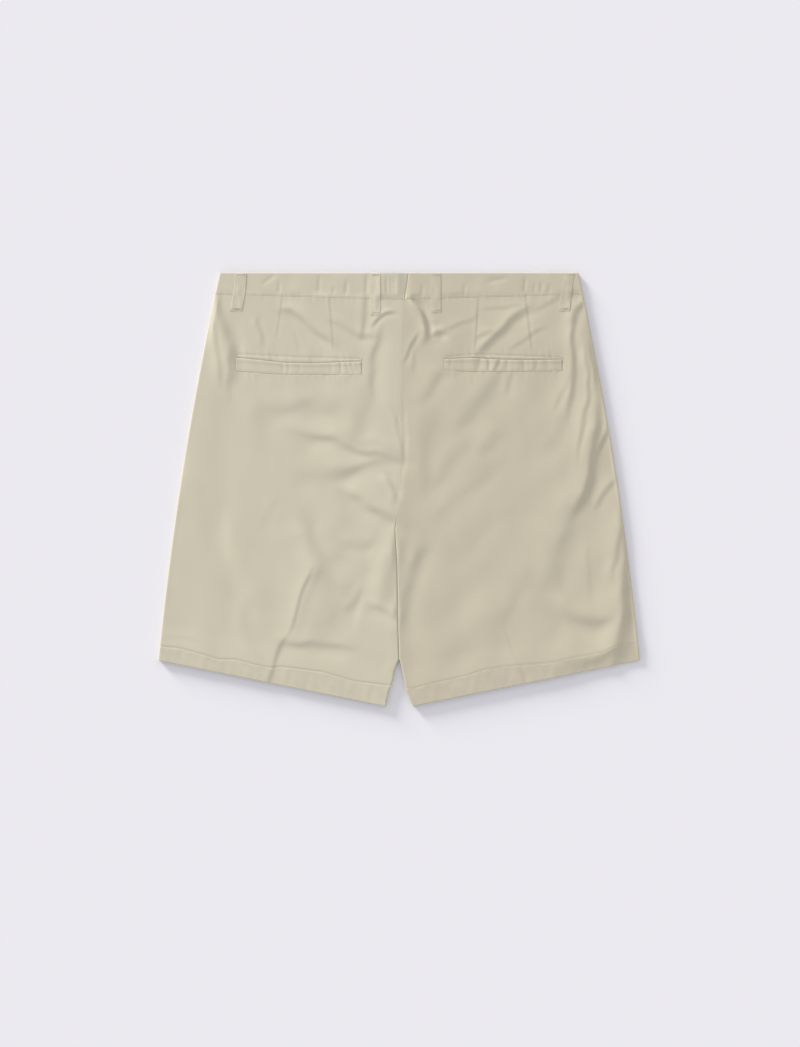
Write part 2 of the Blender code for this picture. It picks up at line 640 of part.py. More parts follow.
def waist_button(material):
    """A round button that lies on the surface, under the swelling of the front waistband."""
    middle_y = (WAIST_EDGE_Y + row_y("waist seam", 0.0)) / 2
    mesh = bmesh.new()
    rings = (
        (BUTTON_RADIUS - BUTTON_RIM, 0.0),
        (BUTTON_RADIUS, BUTTON_RIM),
        (BUTTON_RADIUS, BUTTON_HEIGHT - BUTTON_RIM),
        (BUTTON_RADIUS - BUTTON_RIM, BUTTON_HEIGHT),
    )
    loops = []
    for radius, z in rings:
        turns = [2 * math.pi * number / BUTTON_SIDES for number in range(BUTTON_SIDES)]
        ring = [(BUTTON_X + radius * math.cos(t), middle_y + radius * math.sin(t), z) for t in turns]
        loops.append([mesh.verts.new(point) for point in ring])
    for lower, upper in zip(loops[:-1], loops[1:]):
        for number in range(BUTTON_SIDES):
            after = (number + 1) % BUTTON_SIDES
            mesh.faces.new((lower[number], lower[after], upper[after], upper[number]))
    mesh.faces.new(loops[0][::-1])
    mesh.faces.new(loops[-1])
    return new_object("waist_button", mesh, material)


def build_side(side, word, cloth):
    """All the cloth pieces of one side of the garment."""
    back, back_inside, normals = back_grids(side)
    wall(f"back_{word}", back, back_inside, cloth)
    wall(f"front_{word}", *front_grids(side), cloth)
    band, band_inside = waistband_grids(side)
    wall(f"waistband_{word}", band, band_inside, cloth)
    wall(f"pocket_welt_{word}", *pocket_welt(side, back, normals), cloth)
    for place in ("centre", "side"):
        grids = belt_loop(side, f"{place} {word}", back, band)
        wall(f"belt_loop_{place}_{word}", *grids, cloth)


def main():
    for item in list(bpy.data.objects):
        bpy.data.objects.remove(item)
    cloth = new_material("cotton twill", CLOTH_COLOUR, 0.85)
    for side, word in ((-1, "left"), (1, "right")):
        build_side(side, word, cloth)
    waist_button(new_material("horn button", BUTTON_COLOUR, 0.35))


main()
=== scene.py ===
"""Bermuda shorts laid out flat, back upwards: the cloth, sewing, button, light and camera.

Metres, +Z up, in the frame of the packed model. +Y runs from the hems to the waistband. Each
panel is a thin shell on the form of the laid garment: a height above the surface worked out
from the outline, the seams and a table of folds that were placed one by one.
"""

import math
from collections import namedtuple
from functools import partial

import bmesh
import bpy
import numpy as np
from mathutils import Matrix, Vector


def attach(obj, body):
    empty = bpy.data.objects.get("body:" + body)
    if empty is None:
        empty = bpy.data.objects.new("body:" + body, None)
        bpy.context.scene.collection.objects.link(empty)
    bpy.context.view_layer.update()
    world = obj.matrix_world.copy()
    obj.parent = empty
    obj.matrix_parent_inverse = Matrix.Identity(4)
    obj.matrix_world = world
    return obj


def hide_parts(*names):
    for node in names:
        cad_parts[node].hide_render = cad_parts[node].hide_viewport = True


bl_info = {
    "name": "Bermuda Shorts",
    "version": (1, 0, 0),
    "blender": (4, 5, 0),
    "location": "View3D > Sidebar > Shorts",
    "description": "Cotton twill shorts laid out flat, with their sewing, button and stage",
    "category": "Object",
}

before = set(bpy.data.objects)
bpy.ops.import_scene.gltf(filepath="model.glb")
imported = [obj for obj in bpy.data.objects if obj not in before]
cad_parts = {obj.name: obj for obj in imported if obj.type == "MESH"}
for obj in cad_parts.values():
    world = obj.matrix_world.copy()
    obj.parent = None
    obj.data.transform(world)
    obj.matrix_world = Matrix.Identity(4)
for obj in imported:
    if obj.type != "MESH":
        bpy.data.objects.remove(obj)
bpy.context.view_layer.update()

MM = 0.001
SIDES = ((-1, "left"), (1, "right"))

# Outline in metres, with its drawn lines of points in millimetres
WAIST_EDGE_Y = 0.2595
HEM_SIDE_Y = -0.2046
HEM_INSEAM_Y = -0.2595
HEM_INSEAM_X = 0.0165
SIDE_HALF_WIDTH = 0.2629
SIDE_SLOPE = -0.15139
SIDE_BEND = -0.1294
Line = namedtuple("Line", "x_mm y_mm")
INSEAM_LEFT = (
    Line(11.0, 260), Line(6.5, 229), Line(4.8, 132), Line(3.5, 86), Line(3.5, 40),
    Line(-0.3, -18), Line(-4.9, -48), Line(-2.3, -94), Line(-1.1, -171), Line(0, -203.4),
    Line(-3, -210.6), Line(-5.3, -216.6), Line(-7.2, -228.6), Line(-12, -240.6),
    Line(-14.4, -252.6), Line(-15.6, -259.8),
)
INSEAM_RIGHT = INSEAM_LEFT[:10] + (
    Line(2.4, -210.6), Line(3.6, -216.6), Line(6, -228.6), Line(8.4, -240.6),
    Line(13.2, -252.6), Line(16.8, -259.8),
)
WAIST_SEAM = (Line(-222, 233.6), Line(-180, 232.8), Line(0, 227.5), Line(180, 232.6), Line(222, 233.4))
HEM_LINE = (
    Line(-292, -185), Line(-285, -188), Line(-264, -190), Line(-232, -198.5), Line(-216, -203.5),
    Line(-197, -203.5), Line(-174, -209.5), Line(-155, -213.5), Line(-140, -212.5), Line(-92, -218.5),
    Line(-73, -224), Line(-54, -229.5), Line(-10, -235), Line(14, -239), Line(45, -231),
    Line(81, -223), Line(102, -216), Line(129, -212), Line(160, -209.5), Line(186.5, -207),
    Line(206, -202), Line(244, -195), Line(264, -186), Line(292, -184),
)
CROTCH_START_Y = -0.030
CROTCH_END_Y = -0.060
SEAM_GAP = 0.2 * MM
BUTT_GAP = 0.04 * MM
LEG_GAP = 0.08 * MM
SIDE_TURN = 0.7 * MM
INNER_TURN = 0.3 * MM

# Cloth, as it is laid out: two layers with a little air between them
BACK_CLOTH = 1.0 * MM
HEM_CLOTH = 1.3 * MM
BAND_CLOTH = 1.5 * MM
LOOP_CLOTH = 0.33 * MM
WELT_CLOTH = 0.5 * MM
# A free rim is rounded over this share of the cloth's thickness, down to this share of it
RIM_ROUND = 0.3
RIM_LEAST = 0.70

# Heights of the upper side over the surface
BODY_TOP = 5.0 * MM
INSEAM_TOP = 5.6 * MM
HEM_TOP = 5.9 * MM
HEM_EDGE_TOP = 5.6 * MM
WAIST_TOP = 5.0 * MM
BAND_TOP = 5.1 * MM
LOWEST_TOP = 2.4 * MM
HEM_LIFT = 0.5 * MM
SOFT_FLOOR = 0.4 * MM
# The right side rises and falls along its edge, and its hem's outer corner lies flat
EdgeTop = namedtuple("EdgeTop", "y_mm top_mm")
RIGHT_EDGE_TOPS = (
    EdgeTop(-206, 3.8), EdgeTop(-95, 3.8), EdgeTop(-45, 4.9), EdgeTop(70, 4.9), EdgeTop(100, 4.8),
    EdgeTop(185, 4.7), EdgeTop(215, 5.0), EdgeTop(260, 5.6),
)
CORNER_LINE_TOP = 4.6 * MM
CORNER_EDGE_TOP = 3.3 * MM
CORNER_X = 0.175
CORNER_RUN = 0.115
# How far from an edge or a seam the cloth eases to its height there
RIGHT_EDGE_RUN = 0.016
INSEAM_RUN = 0.018
HEM_RUN = 0.030
WAIST_RUN = 0.015
# How far from an edge the folds die away, and the share by which a hem flattens them
CLEAR_RUNS = {-1: 0.005, 1: 0.003}
INSEAM_CLEAR_RUN = 0.005
HEM_CALM = 0.4

# Unevenness. A wave's height and length are in millimetres, it is longer along the legs by its
# stretch, and its turn from them is in radians.
Wave = namedtuple("Wave", "height length seed stretch turn", defaults=(1.0, 0.0))
BENDS_ACROSS = (Wave(2.0, 75, 3), Wave(0.7, 30, 5))
BENDS_ALONG = (Wave(2.0, 75, 4), Wave(0.7, 30, 6))
CLOTH_WAVES = (Wave(0.22, 70, 7, 1.8, -0.2), Wave(0.05, 25, 8, 2.2, 0.3))
# The right back's own wave sets in beside the centre seam and is full after its run
RIGHT_WAVE = Wave(0.18, 55, 9, 2.4, -0.65)
RIGHT_WAVE_X = 0.02
RIGHT_WAVE_RUN = 0.03
HEM_PUCKERS = Wave(0.10, 9, 11, 2.5, 0.5)
WAIST_PUCKERS = Wave(0.08, 10, 12, 3.0, 0.1)
FRAME_PUCKERS = Wave(0.14, 9, 13, 3.5, 0.15)
BAND_WAVES = (Wave(0.15, 60, 21), Wave(0.06, 16, 22, 2.0))
BAND_PUCKERS = Wave(0.05, 8, 23, 3.0, 0.1)
LOOP_WAVE = Wave(0.12, 12, 31, 2.0)
CROSSED_WAVES = 9
WAVE_PACES = (0.6, 1.5)

# Folds of the backs, in millimetres. Each runs from start through middle to end with its high
# side on the left: the cloth falls over the steep width from raised to sunk, and eases back to
# the flat over the crest and the foot.
Fold = namedtuple("Fold", "name start middle end steep raised sunk crest foot")
FOLDS = (
    # seat, left
    Fold("upper seat", (-148, 76), (-72, 54), (28, 30), 4.5, 1.0, 1.0, 20, 13),
    Fold("upper seat end", (-60, 63), (-26, 54), (14, 36), 4, 0.3, 0.3, 13, 8),
    Fold("middle seat", (-98, 12), (-42, 28.5), (10, 34.5), 6, 0.85, 0.8, 15, 18),
    Fold("middle seat drop", (-140, 20), (-88, 18), (-36, 26), 13, 0.8, 0.8, 18, 22),
    Fold("lower seat", (-78, 6), (-34, -22), (12, -51), 6, 1.55, 1.4, 19, 14),
    Fold("seat plane", (-46, 4), (-76, -24), (-106, -52), 20, 0.4, 0.4, 30, 30),
    # thigh, left
    Fold("under seat", (-70, -118), (-96, -78), (-126, -24), 12, 2.1, 1.9, 20, 20),
    Fold("under seat end", (-74, -62), (-50, -67), (-26, -67), 8, 0.7, 0.7, 14, 12),
    Fold("pressed crease", (-136, -180), (-118, -132), (-99, -84), 1.3, 0.45, 0.5, 8, 26),
    Fold("pressed crease side", (-130, -184), (-109, -134), (-88, -84), 6, 0.35, 0.35, 9, 14),
    Fold("pressed crease foot", (-161, -262), (-148, -208), (-131, -166), 1.7, 0.7, 0.7, 15, 18),
    Fold("crease plateau", (-114, -212), (-80, -144), (-55, -70), 26, 1.8, 1.7, 50, 36),
    Fold("crease spot", (-71, -151), (-53, -135), (-34, -113), 9, 0.8, 0.8, 12, 11),
    Fold("under seat fall", (-112, -114), (-86, -91), (-60, -70), 11, 0.5, 0.5, 18, 18),
    Fold("crease side", (-34, -98), (-45, -140), (-58, -186), 4, 0.2, 0.1, 10, 8),
    Fold("inseam wedge", (-17, -152), (-8, -106), (3, -50), 8, 2.0, 1.8, 18, 12),
    Fold("inseam dent", (-38, -132), (-18, -147), (4, -162), 5, 1.0, 1.0, 9, 10),
    Fold("above hem", (-156, -179), (-98, -187), (-42, -190), 3.8, 0.8, 0.7, 14, 14),
    Fold("hem plane", (-215, -200), (-95, -217), (20, -234), 28, 0.9, 0.9, 50, 50),
    Fold("long ridge", (-212, -6), (-200, -84), (-162, -156), 11, 1.1, 1.0, 24, 22),
    Fold("long hollow", (-148, -228), (-178, -184), (-186, -124), 9, 0.6, 0.6, 14, 15),
    Fold("leg dent", (-166, -52), (-157, -30), (-152, -6), 5, 0.15, 0.17, 10, 10),
    Fold("hem lip", (-298, -174), (-266, -178), (-230, -184), 4, 0.22, 0.25, 8, 6),
    Fold("seat side", (-157, 8), (-163, 66), (-166, 128), 12, 0.25, 0.25, 22, 20),
    # hip, left
    Fold("outer hip", (-212, 110), (-217, 168), (-224, 232), 2.6, 0.8, 0.6, 6, 7),
    Fold("inner hip", (-197, 118), (-208, 196), (-231, 268), 11, 3.9, 2.2, 15, 11),
    Fold("inner hip foot", (-205, 100), (-204, 148), (-204, 196), 3.6, 0.45, 0.45, 8, 9),
    # between waist and pocket, left
    Fold("seat hollow", (-34, 100), (-30, 150), (-19, 204), 3.6, 0.5, 0.85, 12, 13),
    Fold("seat hollow foot", (-60, 46), (-41, 98), (-33, 140), 8, 0.6, 0.6, 18, 16),
    Fold("loop arc", (-34, 190), (-20, 208), (0, 209), 2.2, 0.85, 0.7, 5, 5),
    Fold("loop wedge", (-90, 210), (-56, 190), (-20, 176), 6, 1.0, 0.95, 9, 8),
    Fold("loop dent", (-43, 174), (-42, 205), (-40, 242), 3.4, 0.6, 0.69, 7, 6),
    Fold("dart drag", (-144, 219), (-107, 196), (-72, 163), 3.2, 1.5, 1.5, 10, 10),
    Fold("dart arc", (-118, 158), (-129, 188), (-151, 210), 1.8, 0.2, 0.2, 5, 5),
    Fold("dart streak", (-155, 172), (-164, 189), (-175, 210), 3.6, 0.6, 0.6, 8, 7),
    Fold("under pocket", (-182, 88), (-115, 99), (-46, 92), 12, 1.0, 1.0, 20, 18),
    # beside the centre seam
    Fold("seam crease upper", (5, 28), (1, 62), (-14, 104), 2.6, 0.35, 0.35, 8, 7),
    Fold("seam crease lower", (1, -20), (-4.5, 5), (-20, 22), 2.6, 0.9, 0.9, 9, 6),
    Fold("seam ridge", (9, 130), (9, 46), (-2, -46), 1.8, 0.33, 0.2, 8, 4),
    Fold("seam hollow", (20, -26), (30, 44), (32, 116), 12, 1.3, 1.2, 16, 22),
    # between waist and pocket, right
    Fold("waist drag", (36, 172), (31, 203), (8, 237), 2.4, 2.3, 2.5, 8, 7),
    Fold("waist drag end", (52, 176), (45, 188), (38, 202), 4, 0.9, 1.0, 8, 8),
    Fold("waist blob", (34, 180), (46, 187), (60, 188), 4, 1.2, 1.1, 8, 10),
    Fold("waist line", (4, 148), (13, 171), (29, 195), 1.8, 0.5, 0.5, 6, 6),
    Fold("waist patch", (19, 136), (19, 154), (20, 172), 3, 0.35, 0.35, 7, 7),
    Fold("loop line", (46, 192), (68, 197), (98, 209), 2.4, 0.3, 0.3, 6, 7),
    Fold("dart line", (90, 212), (120, 218), (154, 224), 1.6, 0.25, 0.25, 5, 6),
    Fold("big drag", (87.5, 150), (122, 189), (167, 228), 4.2, 1.3, 1.2, 9, 11),
    Fold("big drag tail", (146, 206), (174, 221), (204, 237), 3.8, 0.35, 0.35, 7, 8),
    Fold("small drag", (130, 159.5), (154, 185.5), (183, 195.5), 1.5, 0.3, 0.3, 5, 6),
    Fold("dart wedge", (90, 178), (102, 186), (116, 193), 3.4, 0.6, 0.52, 7, 7),
    # hip and side, right
    Fold("hip line", (204.5, 74), (207.5, 140), (213, 222), 2.4, 1.3, 0.8, 9, 8),
    Fold("hip hook", (208, 190), (213, 210), (228, 236), 2.6, 1.1, 0.8, 8, 6),
    Fold("hip ridge", (208, 20), (221.5, 84), (221, 192), 2.2, 0.7, 0.6, 5, 5),
    Fold("side fold upper", (244, 92), (235.5, 146), (223, 206), 5.2, 2.9, 1.2, 15, 60),
    Fold("side fold middle", (196, -58), (231, 30), (235, 122), 8, 2.9, 0.8, 24, 50),
    Fold("side fold crease", (203, -48), (232, 30), (236, 118), 2.4, 1.05, 0.7, 9, 11),
    Fold("side fold edge", (237, 32), (247, 62), (257, 98), 2.2, 1.3, 0.8, 6, 6),
    Fold("side fold lower", (188, -130), (192, -80), (214, -34), 10, 1.8, 1.0, 28, 22),
    Fold("edge crease", (229, -30), (247, -5), (268, 17), 3.0, 0.65, 0.65, 9, 9),
    Fold("edge line", (255, -122), (263, -62), (271, -4), 2.8, 0.7, 0.7, 10, 7),
    Fold("edge fall", (257, -262), (270, -156), (275, -36), 6, 3.0, 1.4, 20, 60),
    Fold("corner", (178, -219), (236, -203), (300, -178), 6, 2.24, 0.86, 18, 60),
    Fold("above hem right", (168, -137), (212, -155), (264, -155), 10, 2.0, 1.4, 20, 22),
    Fold("leg streak right", (233, -142), (229, -100), (226, -54), 2.6, 0.2, 0.2, 9, 9),
    Fold("pocket line", (184, 90), (195, 115), (207, 150), 2.6, 0.3, 0.3, 7, 7),
    Fold("side swell", (172, 34), (192, 66), (209, 104), 11, 0.7, 0.65, 18, 16),
    Fold("pocket pull", (128, 108), (131, 125), (134, 144), 3.2, 0.43, 0.52, 7, 7),
    # seat and thigh, right
    Fold("ripple one", (56, 58), (91, 101), (130, 152), 12, 1.1, 1.05, 19, 19),
    Fold("ripple nought", (24, 98), (38, 124), (57, 149), 8, 0.8, 0.75, 14, 16),
    Fold("ripple two", (90, 40), (107, 56), (124, 76), 9, 0.6, 0.6, 14, 14),
    Fold("ripple three", (28, -10), (62, 32), (100, 78), 11, 0.5, 0.5, 17, 17),
    Fold("ripple four", (22, -54), (76, -8), (132, 46), 10, 0.4, 0.4, 18, 18),
    Fold("ripple five", (56, -98), (102, -50), (158, 2), 11, 0.2, 0.2, 18, 18),
    Fold("ripple six", (110, -184), (142, -124), (176, -70), 13, 0.69, 0.69, 22, 20),
    Fold("inseam trough", (-4, -192), (7, -122), (30, -46), 13, 1.4, 1.5, 18, 18),
    Fold("inseam trough top", (4, -98), (20, -84), (42, -68), 11, 0.6, 0.6, 14, 12),
    Fold("low swell", (112, -112), (70, -152), (28, -200), 26, 0.8, 0.8, 34, 34),
    Fold("right crease", (147, -226), (135, -192), (121, -154), 1.3, 0.15, 0.15, 5, 5),
    Fold("right crease hem", (151, -248), (147, -226), (140, -202), 1.9, 0.5, 0.5, 6, 6),
)
# A fold fades out at each end over a share of its length between these two, wide folds most
FADE_SHARES = (0.3, 0.5)
CREASE_FADE = 0.35
STEEPEST_BEND = 1.5


def smooth(value):
    """Ease from 0 to 1 as value goes from 0 to 1."""
    value = np.clip(value, 0.0, 1.0)
    return value * value * (3.0 - 2.0 * value)


def mix(first, last, share):
    """What lies a share of the way from first to last."""
    return first + (last - first) * share


def ridge(offset, width):
    """A soft bump of height 1 over an offset."""
    return np.exp(-((offset / width) ** 2))


def at_x(line, x):
    """Height y of a line of points at each x."""
    places, heights = zip(*sorted(line))
    return MM * np.interp(np.asarray(x) / MM, places, heights)


def at_y(line, y):
    """Place x of a line of points at each y."""
    places, heights = zip(*sorted(line, key=lambda point: point.y_mm))
    return MM * np.interp(np.asarray(y) / MM, heights, places)


def half_width(y):
    """Distance from x = 0 to the side edge."""
    return SIDE_HALF_WIDTH + SIDE_SLOPE * y + SIDE_BEND * y**2


def leg_share(y):
    """0 above the crotch, where the backs are sewn together, and 1 where the legs part."""
    return smooth((CROTCH_START_Y - y) / (CROTCH_START_Y - CROTCH_END_Y))


def inner_edge(side, y):
    """A panel's edge at the centre seam or at the inseam, less its share of the gap."""
    line = INSEAM_LEFT if side < 0 else INSEAM_RIGHT
    return at_y(line, y) + side * mix(BUTT_GAP, LEG_GAP, leg_share(y)) / 2


def flat_ends(side, y):
    """The ends of a panel's flat part, between its inner turn and its side turn."""
    return inner_edge(side, y) + side * INNER_TURN, side * (half_width(y) - SIDE_TURN)


def waist_seam(x):
    """The line where the backs meet the waistband."""
    return at_x(WAIST_SEAM, x)


def hem_line(x):
    """The line of stitches that holds the hem."""
    return at_x(HEM_LINE, x)


def hem_edge(x):
    """The lower edge of the legs."""
    share = (np.abs(x) - HEM_INSEAM_X) / (half_width(HEM_SIDE_Y) - HEM_INSEAM_X)
    return mix(HEM_INSEAM_Y, HEM_SIDE_Y, np.maximum(share, 0.0))


def right_edge_top(y):
    """Height of the garment at its right side edge."""
    places, tops = zip(*RIGHT_EDGE_TOPS)
    return MM * np.interp(y / MM, places, tops)


def hem_top(x, y):
    """Height of a hem, which tilts down from its stitches to its edge, most in the low corner."""
    down = np.clip((hem_line(x) - y) / (hem_line(x) - hem_edge(x)), 0.0, 1.0)
    corner = smooth((x - CORNER_X) / CORNER_RUN)
    line_top = mix(HEM_TOP, CORNER_LINE_TOP, corner)
    return mix(line_top, mix(HEM_EDGE_TOP, CORNER_EDGE_TOP, corner), down)


def swell(wave, x, y):
    """Smooth unevenness: a few crossed waves about one length, longer along one direction."""
    random = np.random.default_rng(wave.seed)
    along, across = math.cos(wave.turn), math.sin(wave.turn)
    u = (along * x + across * y) / (wave.length * MM)
    v = (along * y - across * x) / (wave.length * wave.stretch * MM)
    total = np.zeros(np.shape(x))
    for _ in range(CROSSED_WAVES):
        heading, phase = random.uniform(0.0, 2 * math.pi, 2)
        pace = 2 * math.pi * random.uniform(*WAVE_PACES)
        total = total + np.sin(pace * (math.cos(heading) * u + math.sin(heading) * v) + phase)
    return wave.height * MM * total / math.sqrt(CROSSED_WAVES)


def along_and_off(start, middle, end, x, y):
    """Share of the way along a curve over its own chord, and distance to the curve's left."""
    start, middle, end = (np.array(point) * MM for point in (start, middle, end))
    length = np.linalg.norm(end - start)
    along = (end - start) / length
    u = (x - start[0]) * along[0] + (y - start[1]) * along[1]
    v = (y - start[1]) * along[0] - (x - start[0]) * along[1]
    bend_u = (middle - start) @ along
    bend_v = (middle[1] - start[1]) * along[0] - (middle[0] - start[0]) * along[1]
    bend = bend_v / (bend_u * (length - bend_u))
    slope = np.clip(bend * (length - 2 * u), -STEEPEST_BEND, STEEPEST_BEND)
    return u / length, (v - bend * u * (length - u)) / np.hypot(1.0, slope), length


def fading(share, fade):
    """1 along the middle of a line, easing to 0 at its two ends."""
    return smooth(share / fade) * smooth((1.0 - share) / fade)


def fold_height(fold, x, y):
    """The swell of one fold: a fall from its high to its low side that eases off both ways."""
    share, off_line, length = along_and_off(fold.start, fold.middle, fold.end, x, y)
    fade = np.clip(max(fold.crest, fold.foot) * MM / length, *FADE_SHARES)
    high = 0.5 + 0.5 * np.tanh(off_line / (fold.steep * MM))
    reach = np.where(off_line > 0, fold.crest, fold.foot) * MM
    return mix(-fold.sunk, fold.raised, high) * MM * fading(share, fade) * ridge(off_line, reach)


def crease_height(crease, x, y):
    """A narrow straight furrow."""
    middle = np.add(crease.start, crease.end) / 2
    share, off_line, _ = along_and_off(crease.start, middle, crease.end, x, y)
    return -crease.depth * MM * fading(share, CREASE_FADE) * ridge(off_line, crease.width * MM)


def laid_folds(x, y):
    """All folds together, bent a little so that none looks drawn, and the cloth's slow waves."""
    bent_x = x + sum(swell(wave, x, y) for wave in BENDS_ACROSS)
    bent_y = y + sum(swell(wave, x, y) for wave in BENDS_ALONG)
    folds = sum(fold_height(fold, bent_x, bent_y) for fold in FOLDS)
    folds = folds + sum(swell(wave, x, y) for wave in CLOTH_WAVES)
    return folds + smooth((x - RIGHT_WAVE_X) / RIGHT_WAVE_RUN) * swell(RIGHT_WAVE, x, y)


def form(side, x, y):
    """Height of a back's upper side above the surface, without its sewn relief."""
    inner, outer = flat_ends(side, y)
    to_inner, to_side = side * (x - inner), side * (outer - x)
    leg = leg_share(y)
    hem = smooth(1.0 - (y - hem_line(x)) / HEM_RUN)
    top = np.full(np.shape(x), BODY_TOP)
    if side > 0:
        top = mix(top, right_edge_top(y), smooth(1.0 - to_side / RIGHT_EDGE_RUN))
    top = mix(top, INSEAM_TOP, leg * smooth(1.0 - to_inner / INSEAM_RUN))
    top = mix(top, hem_top(x, y), hem)
    top = mix(top, WAIST_TOP, smooth(1.0 - (waist_seam(x) - y) / WAIST_RUN))
    clear = smooth(to_side / CLEAR_RUNS[side]) * mix(1.0, smooth(to_inner / INSEAM_CLEAR_RUN), leg)
    height = top + laid_folds(x, y) * clear * (1.0 - HEM_CALM * hem)
    lowest = LOWEST_TOP + HEM_LIFT * hem
    return lowest + SOFT_FLOOR * np.logaddexp(0.0, (height - lowest) / SOFT_FLOOR)


# Sewn detail. Its tables are in millimetres.
Dart = namedtuple("Dart", "side waist_x waist_y tip_x tip_y depth")
DARTS = (
    Dart(-1, -83.5, 229, -78.3, 161, 0.25),
    Dart(-1, -139.5, 231, -147.5, 178, 0.20),
    Dart(1, 95.0, 230, 91.2, 163, 0.35),
    Dart(1, 151.5, 231, 159.6, 163, 0.35),
)
Pocket = namedtuple("Pocket", "side inner_x outer_x top foot mouth")
POCKETS = (
    Pocket(
        -1, -45.0, -195.5,
        (Line(-300, 167), Line(-197, 162.5), Line(-120, 158.6), Line(-44, 156.8), Line(60, 156)),
        (Line(-300, 148), Line(-195, 141.5), Line(-140, 137.8), Line(-44, 137.3), Line(60, 137)),
        (Line(-194, 158.8), Line(-136, 152.6), Line(-100, 152.0), Line(-47, 154.2)),
    ),
    Pocket(
        1, 54.5, 195.5,
        (
            Line(-60, 156), Line(53, 158.6), Line(87, 161.6), Line(115, 161.4), Line(197, 158),
            Line(300, 157),
        ),
        (Line(-60, 143), Line(56, 142.6), Line(98, 140.8), Line(195, 141.8), Line(300, 142)),
        (Line(56, 157.2), Line(87, 158.6), Line(123, 156.4), Line(157, 156), Line(194, 156.6)),
    ),
)
# A dart is part fall and part groove, and its stitches pull it shallow and deep in turn
DART_FADE = 12 * MM
DART_STEEP = 0.6 * MM
DART_WIDTH = 4.0 * MM
DART_STITCH = 4.8 * MM
DART_FALL = 0.8
DART_GROOVE = 0.5
DART_SHALLOW = 0.30
DART_DEEP = 1.20
# Rows of stitches sink into the cloth
ROW_GROOVE = 0.20 * MM
GROOVE_WIDTH = 0.9 * MM
HEM_GROOVES = {-1: 0.30 * MM, 1: 0.16 * MM}
FRAME_GROOVE = 0.28 * MM
BAND_GROOVE = 0.12 * MM
# Felled centre seam, folded over to the left: its ridge, already a little raised at the seam
FELL_RISE = 0.14 * MM
FELL_WIDTH = 8.2 * MM
FELL_EDGE = 0.9 * MM
FELL_ROLL = 2.4 * MM
FELL_AT_SEAM = 0.2
FELL_END_Y = 0.083
FELL_FADE = 12 * MM
FELL_ROWS = (6.8 * MM, 1.7 * MM)
# Pockets: the lip over the mouth, the recess for the welt and the frame round them
POCKET_END_RUN = 1.2 * MM
LIP_RISE = 0.14 * MM
LIP_RUN = 1.5 * MM
MOUTH_RUN = 0.8 * MM
RECESS = 0.58 * MM
RECESS_FOOT = 0.55 * MM
RECESS_FOOT_SHARE = 2 / 7
FRAME_RUN = 1.0 * MM
FRAME_GROOVE_END = 3.0 * MM
FRAME_REACH = 19 * MM
FRAME_END_RUN = 10 * MM
# Hems: the step of the turned-up cloth, and a roll above the stitches
HEM_STEP = 0.10 * MM
HEM_STEP_START = 0.2 * MM
HEM_STEP_RUN = 1.2 * MM
HEM_ROLL = 0.05 * MM
HEM_ROLL_RISE = 3.0 * MM
HEM_ROLL_WIDTH = 2.2 * MM
HEM_PUCKER_RUN = 3.0 * MM
WAIST_PULL_RUN = 14 * MM
# Waistband, with the button of its front closing underneath
BAND_ROW_RISE = 2.2 * MM
BAND_FOOT_RUN = 8 * MM
BAND_FOOT_STEP = 0.06 * MM
BAND_SEAM_FOOT_X = 7.0 * MM
BAND_SEAM_TOP_X = 11.6 * MM
FRONT_CLOSING_X = 0.0080
BUTTON_X = -0.0115
BUTTON_RADIUS = 8.5 * MM
BUTTON_HEIGHT = 2.2 * MM
BUTTON_REACH = 19 * MM
BUTTON_SLOPE = 9.5 * MM
BUTTON_SWELL = 1.1 * MM
Loop = namedtuple("Loop", "name side top_inner top_outer foot_inner foot_outer foot_y bow")
LOOPS = (
    Loop("side_left", -1, -182.8, -196.2, -188.5, -202.9, 213.5, 1.2),
    Loop("centre_left", -1, -22.6, -34.0, -22.6, -34.0, 208.0, 0.24),
    Loop("centre_right", 1, 38.0, 49.9, 38.0, 49.9, 211.5, 0.24),
    Loop("side_right", 1, 198.9, 209.6, 190.0, 204.2, 213.5, 0.24),
)
Crease = namedtuple("Crease", "start end width depth")
BAND_CREASES = (
    Crease((-166, 244), (-146, 259), 2.2, 0.35),
    Crease((-144, 253), (-143, 230), 1.8, 0.4),
    Crease((-95, 260), (-96.5, 231), 1.8, 0.4),
    Crease((-78, 245), (-79, 225), 1.8, 0.4),
    Crease((-62, 254), (-64, 227), 2.0, 0.5),
    Crease((-38, 263), (-39.5, 225), 2.2, 0.5),
    Crease((-15, 259), (-13.6, 227), 1.6, 0.6),
    Crease((-10, 258), (-9, 227), 1.6, 0.6),
    Crease((-6, 259), (-5, 227), 1.4, 0.5),
    Crease((13, 263), (7, 223), 1.8, 0.5),
    Crease((102, 248), (134, 254), 3.0, 0.4),
    Crease((28, 247), (27.5, 228), 1.6, 0.4),
    Crease((79, 249), (78, 228), 1.6, 0.4),
    Crease((151.5, 258), (150, 229), 1.6, 0.5),
    Crease((163, 249), (162, 230), 1.6, 0.4),
    Crease((171, 251), (170, 230), 1.6, 0.5),
    Crease((181, 248), (180, 230), 1.6, 0.4),
)
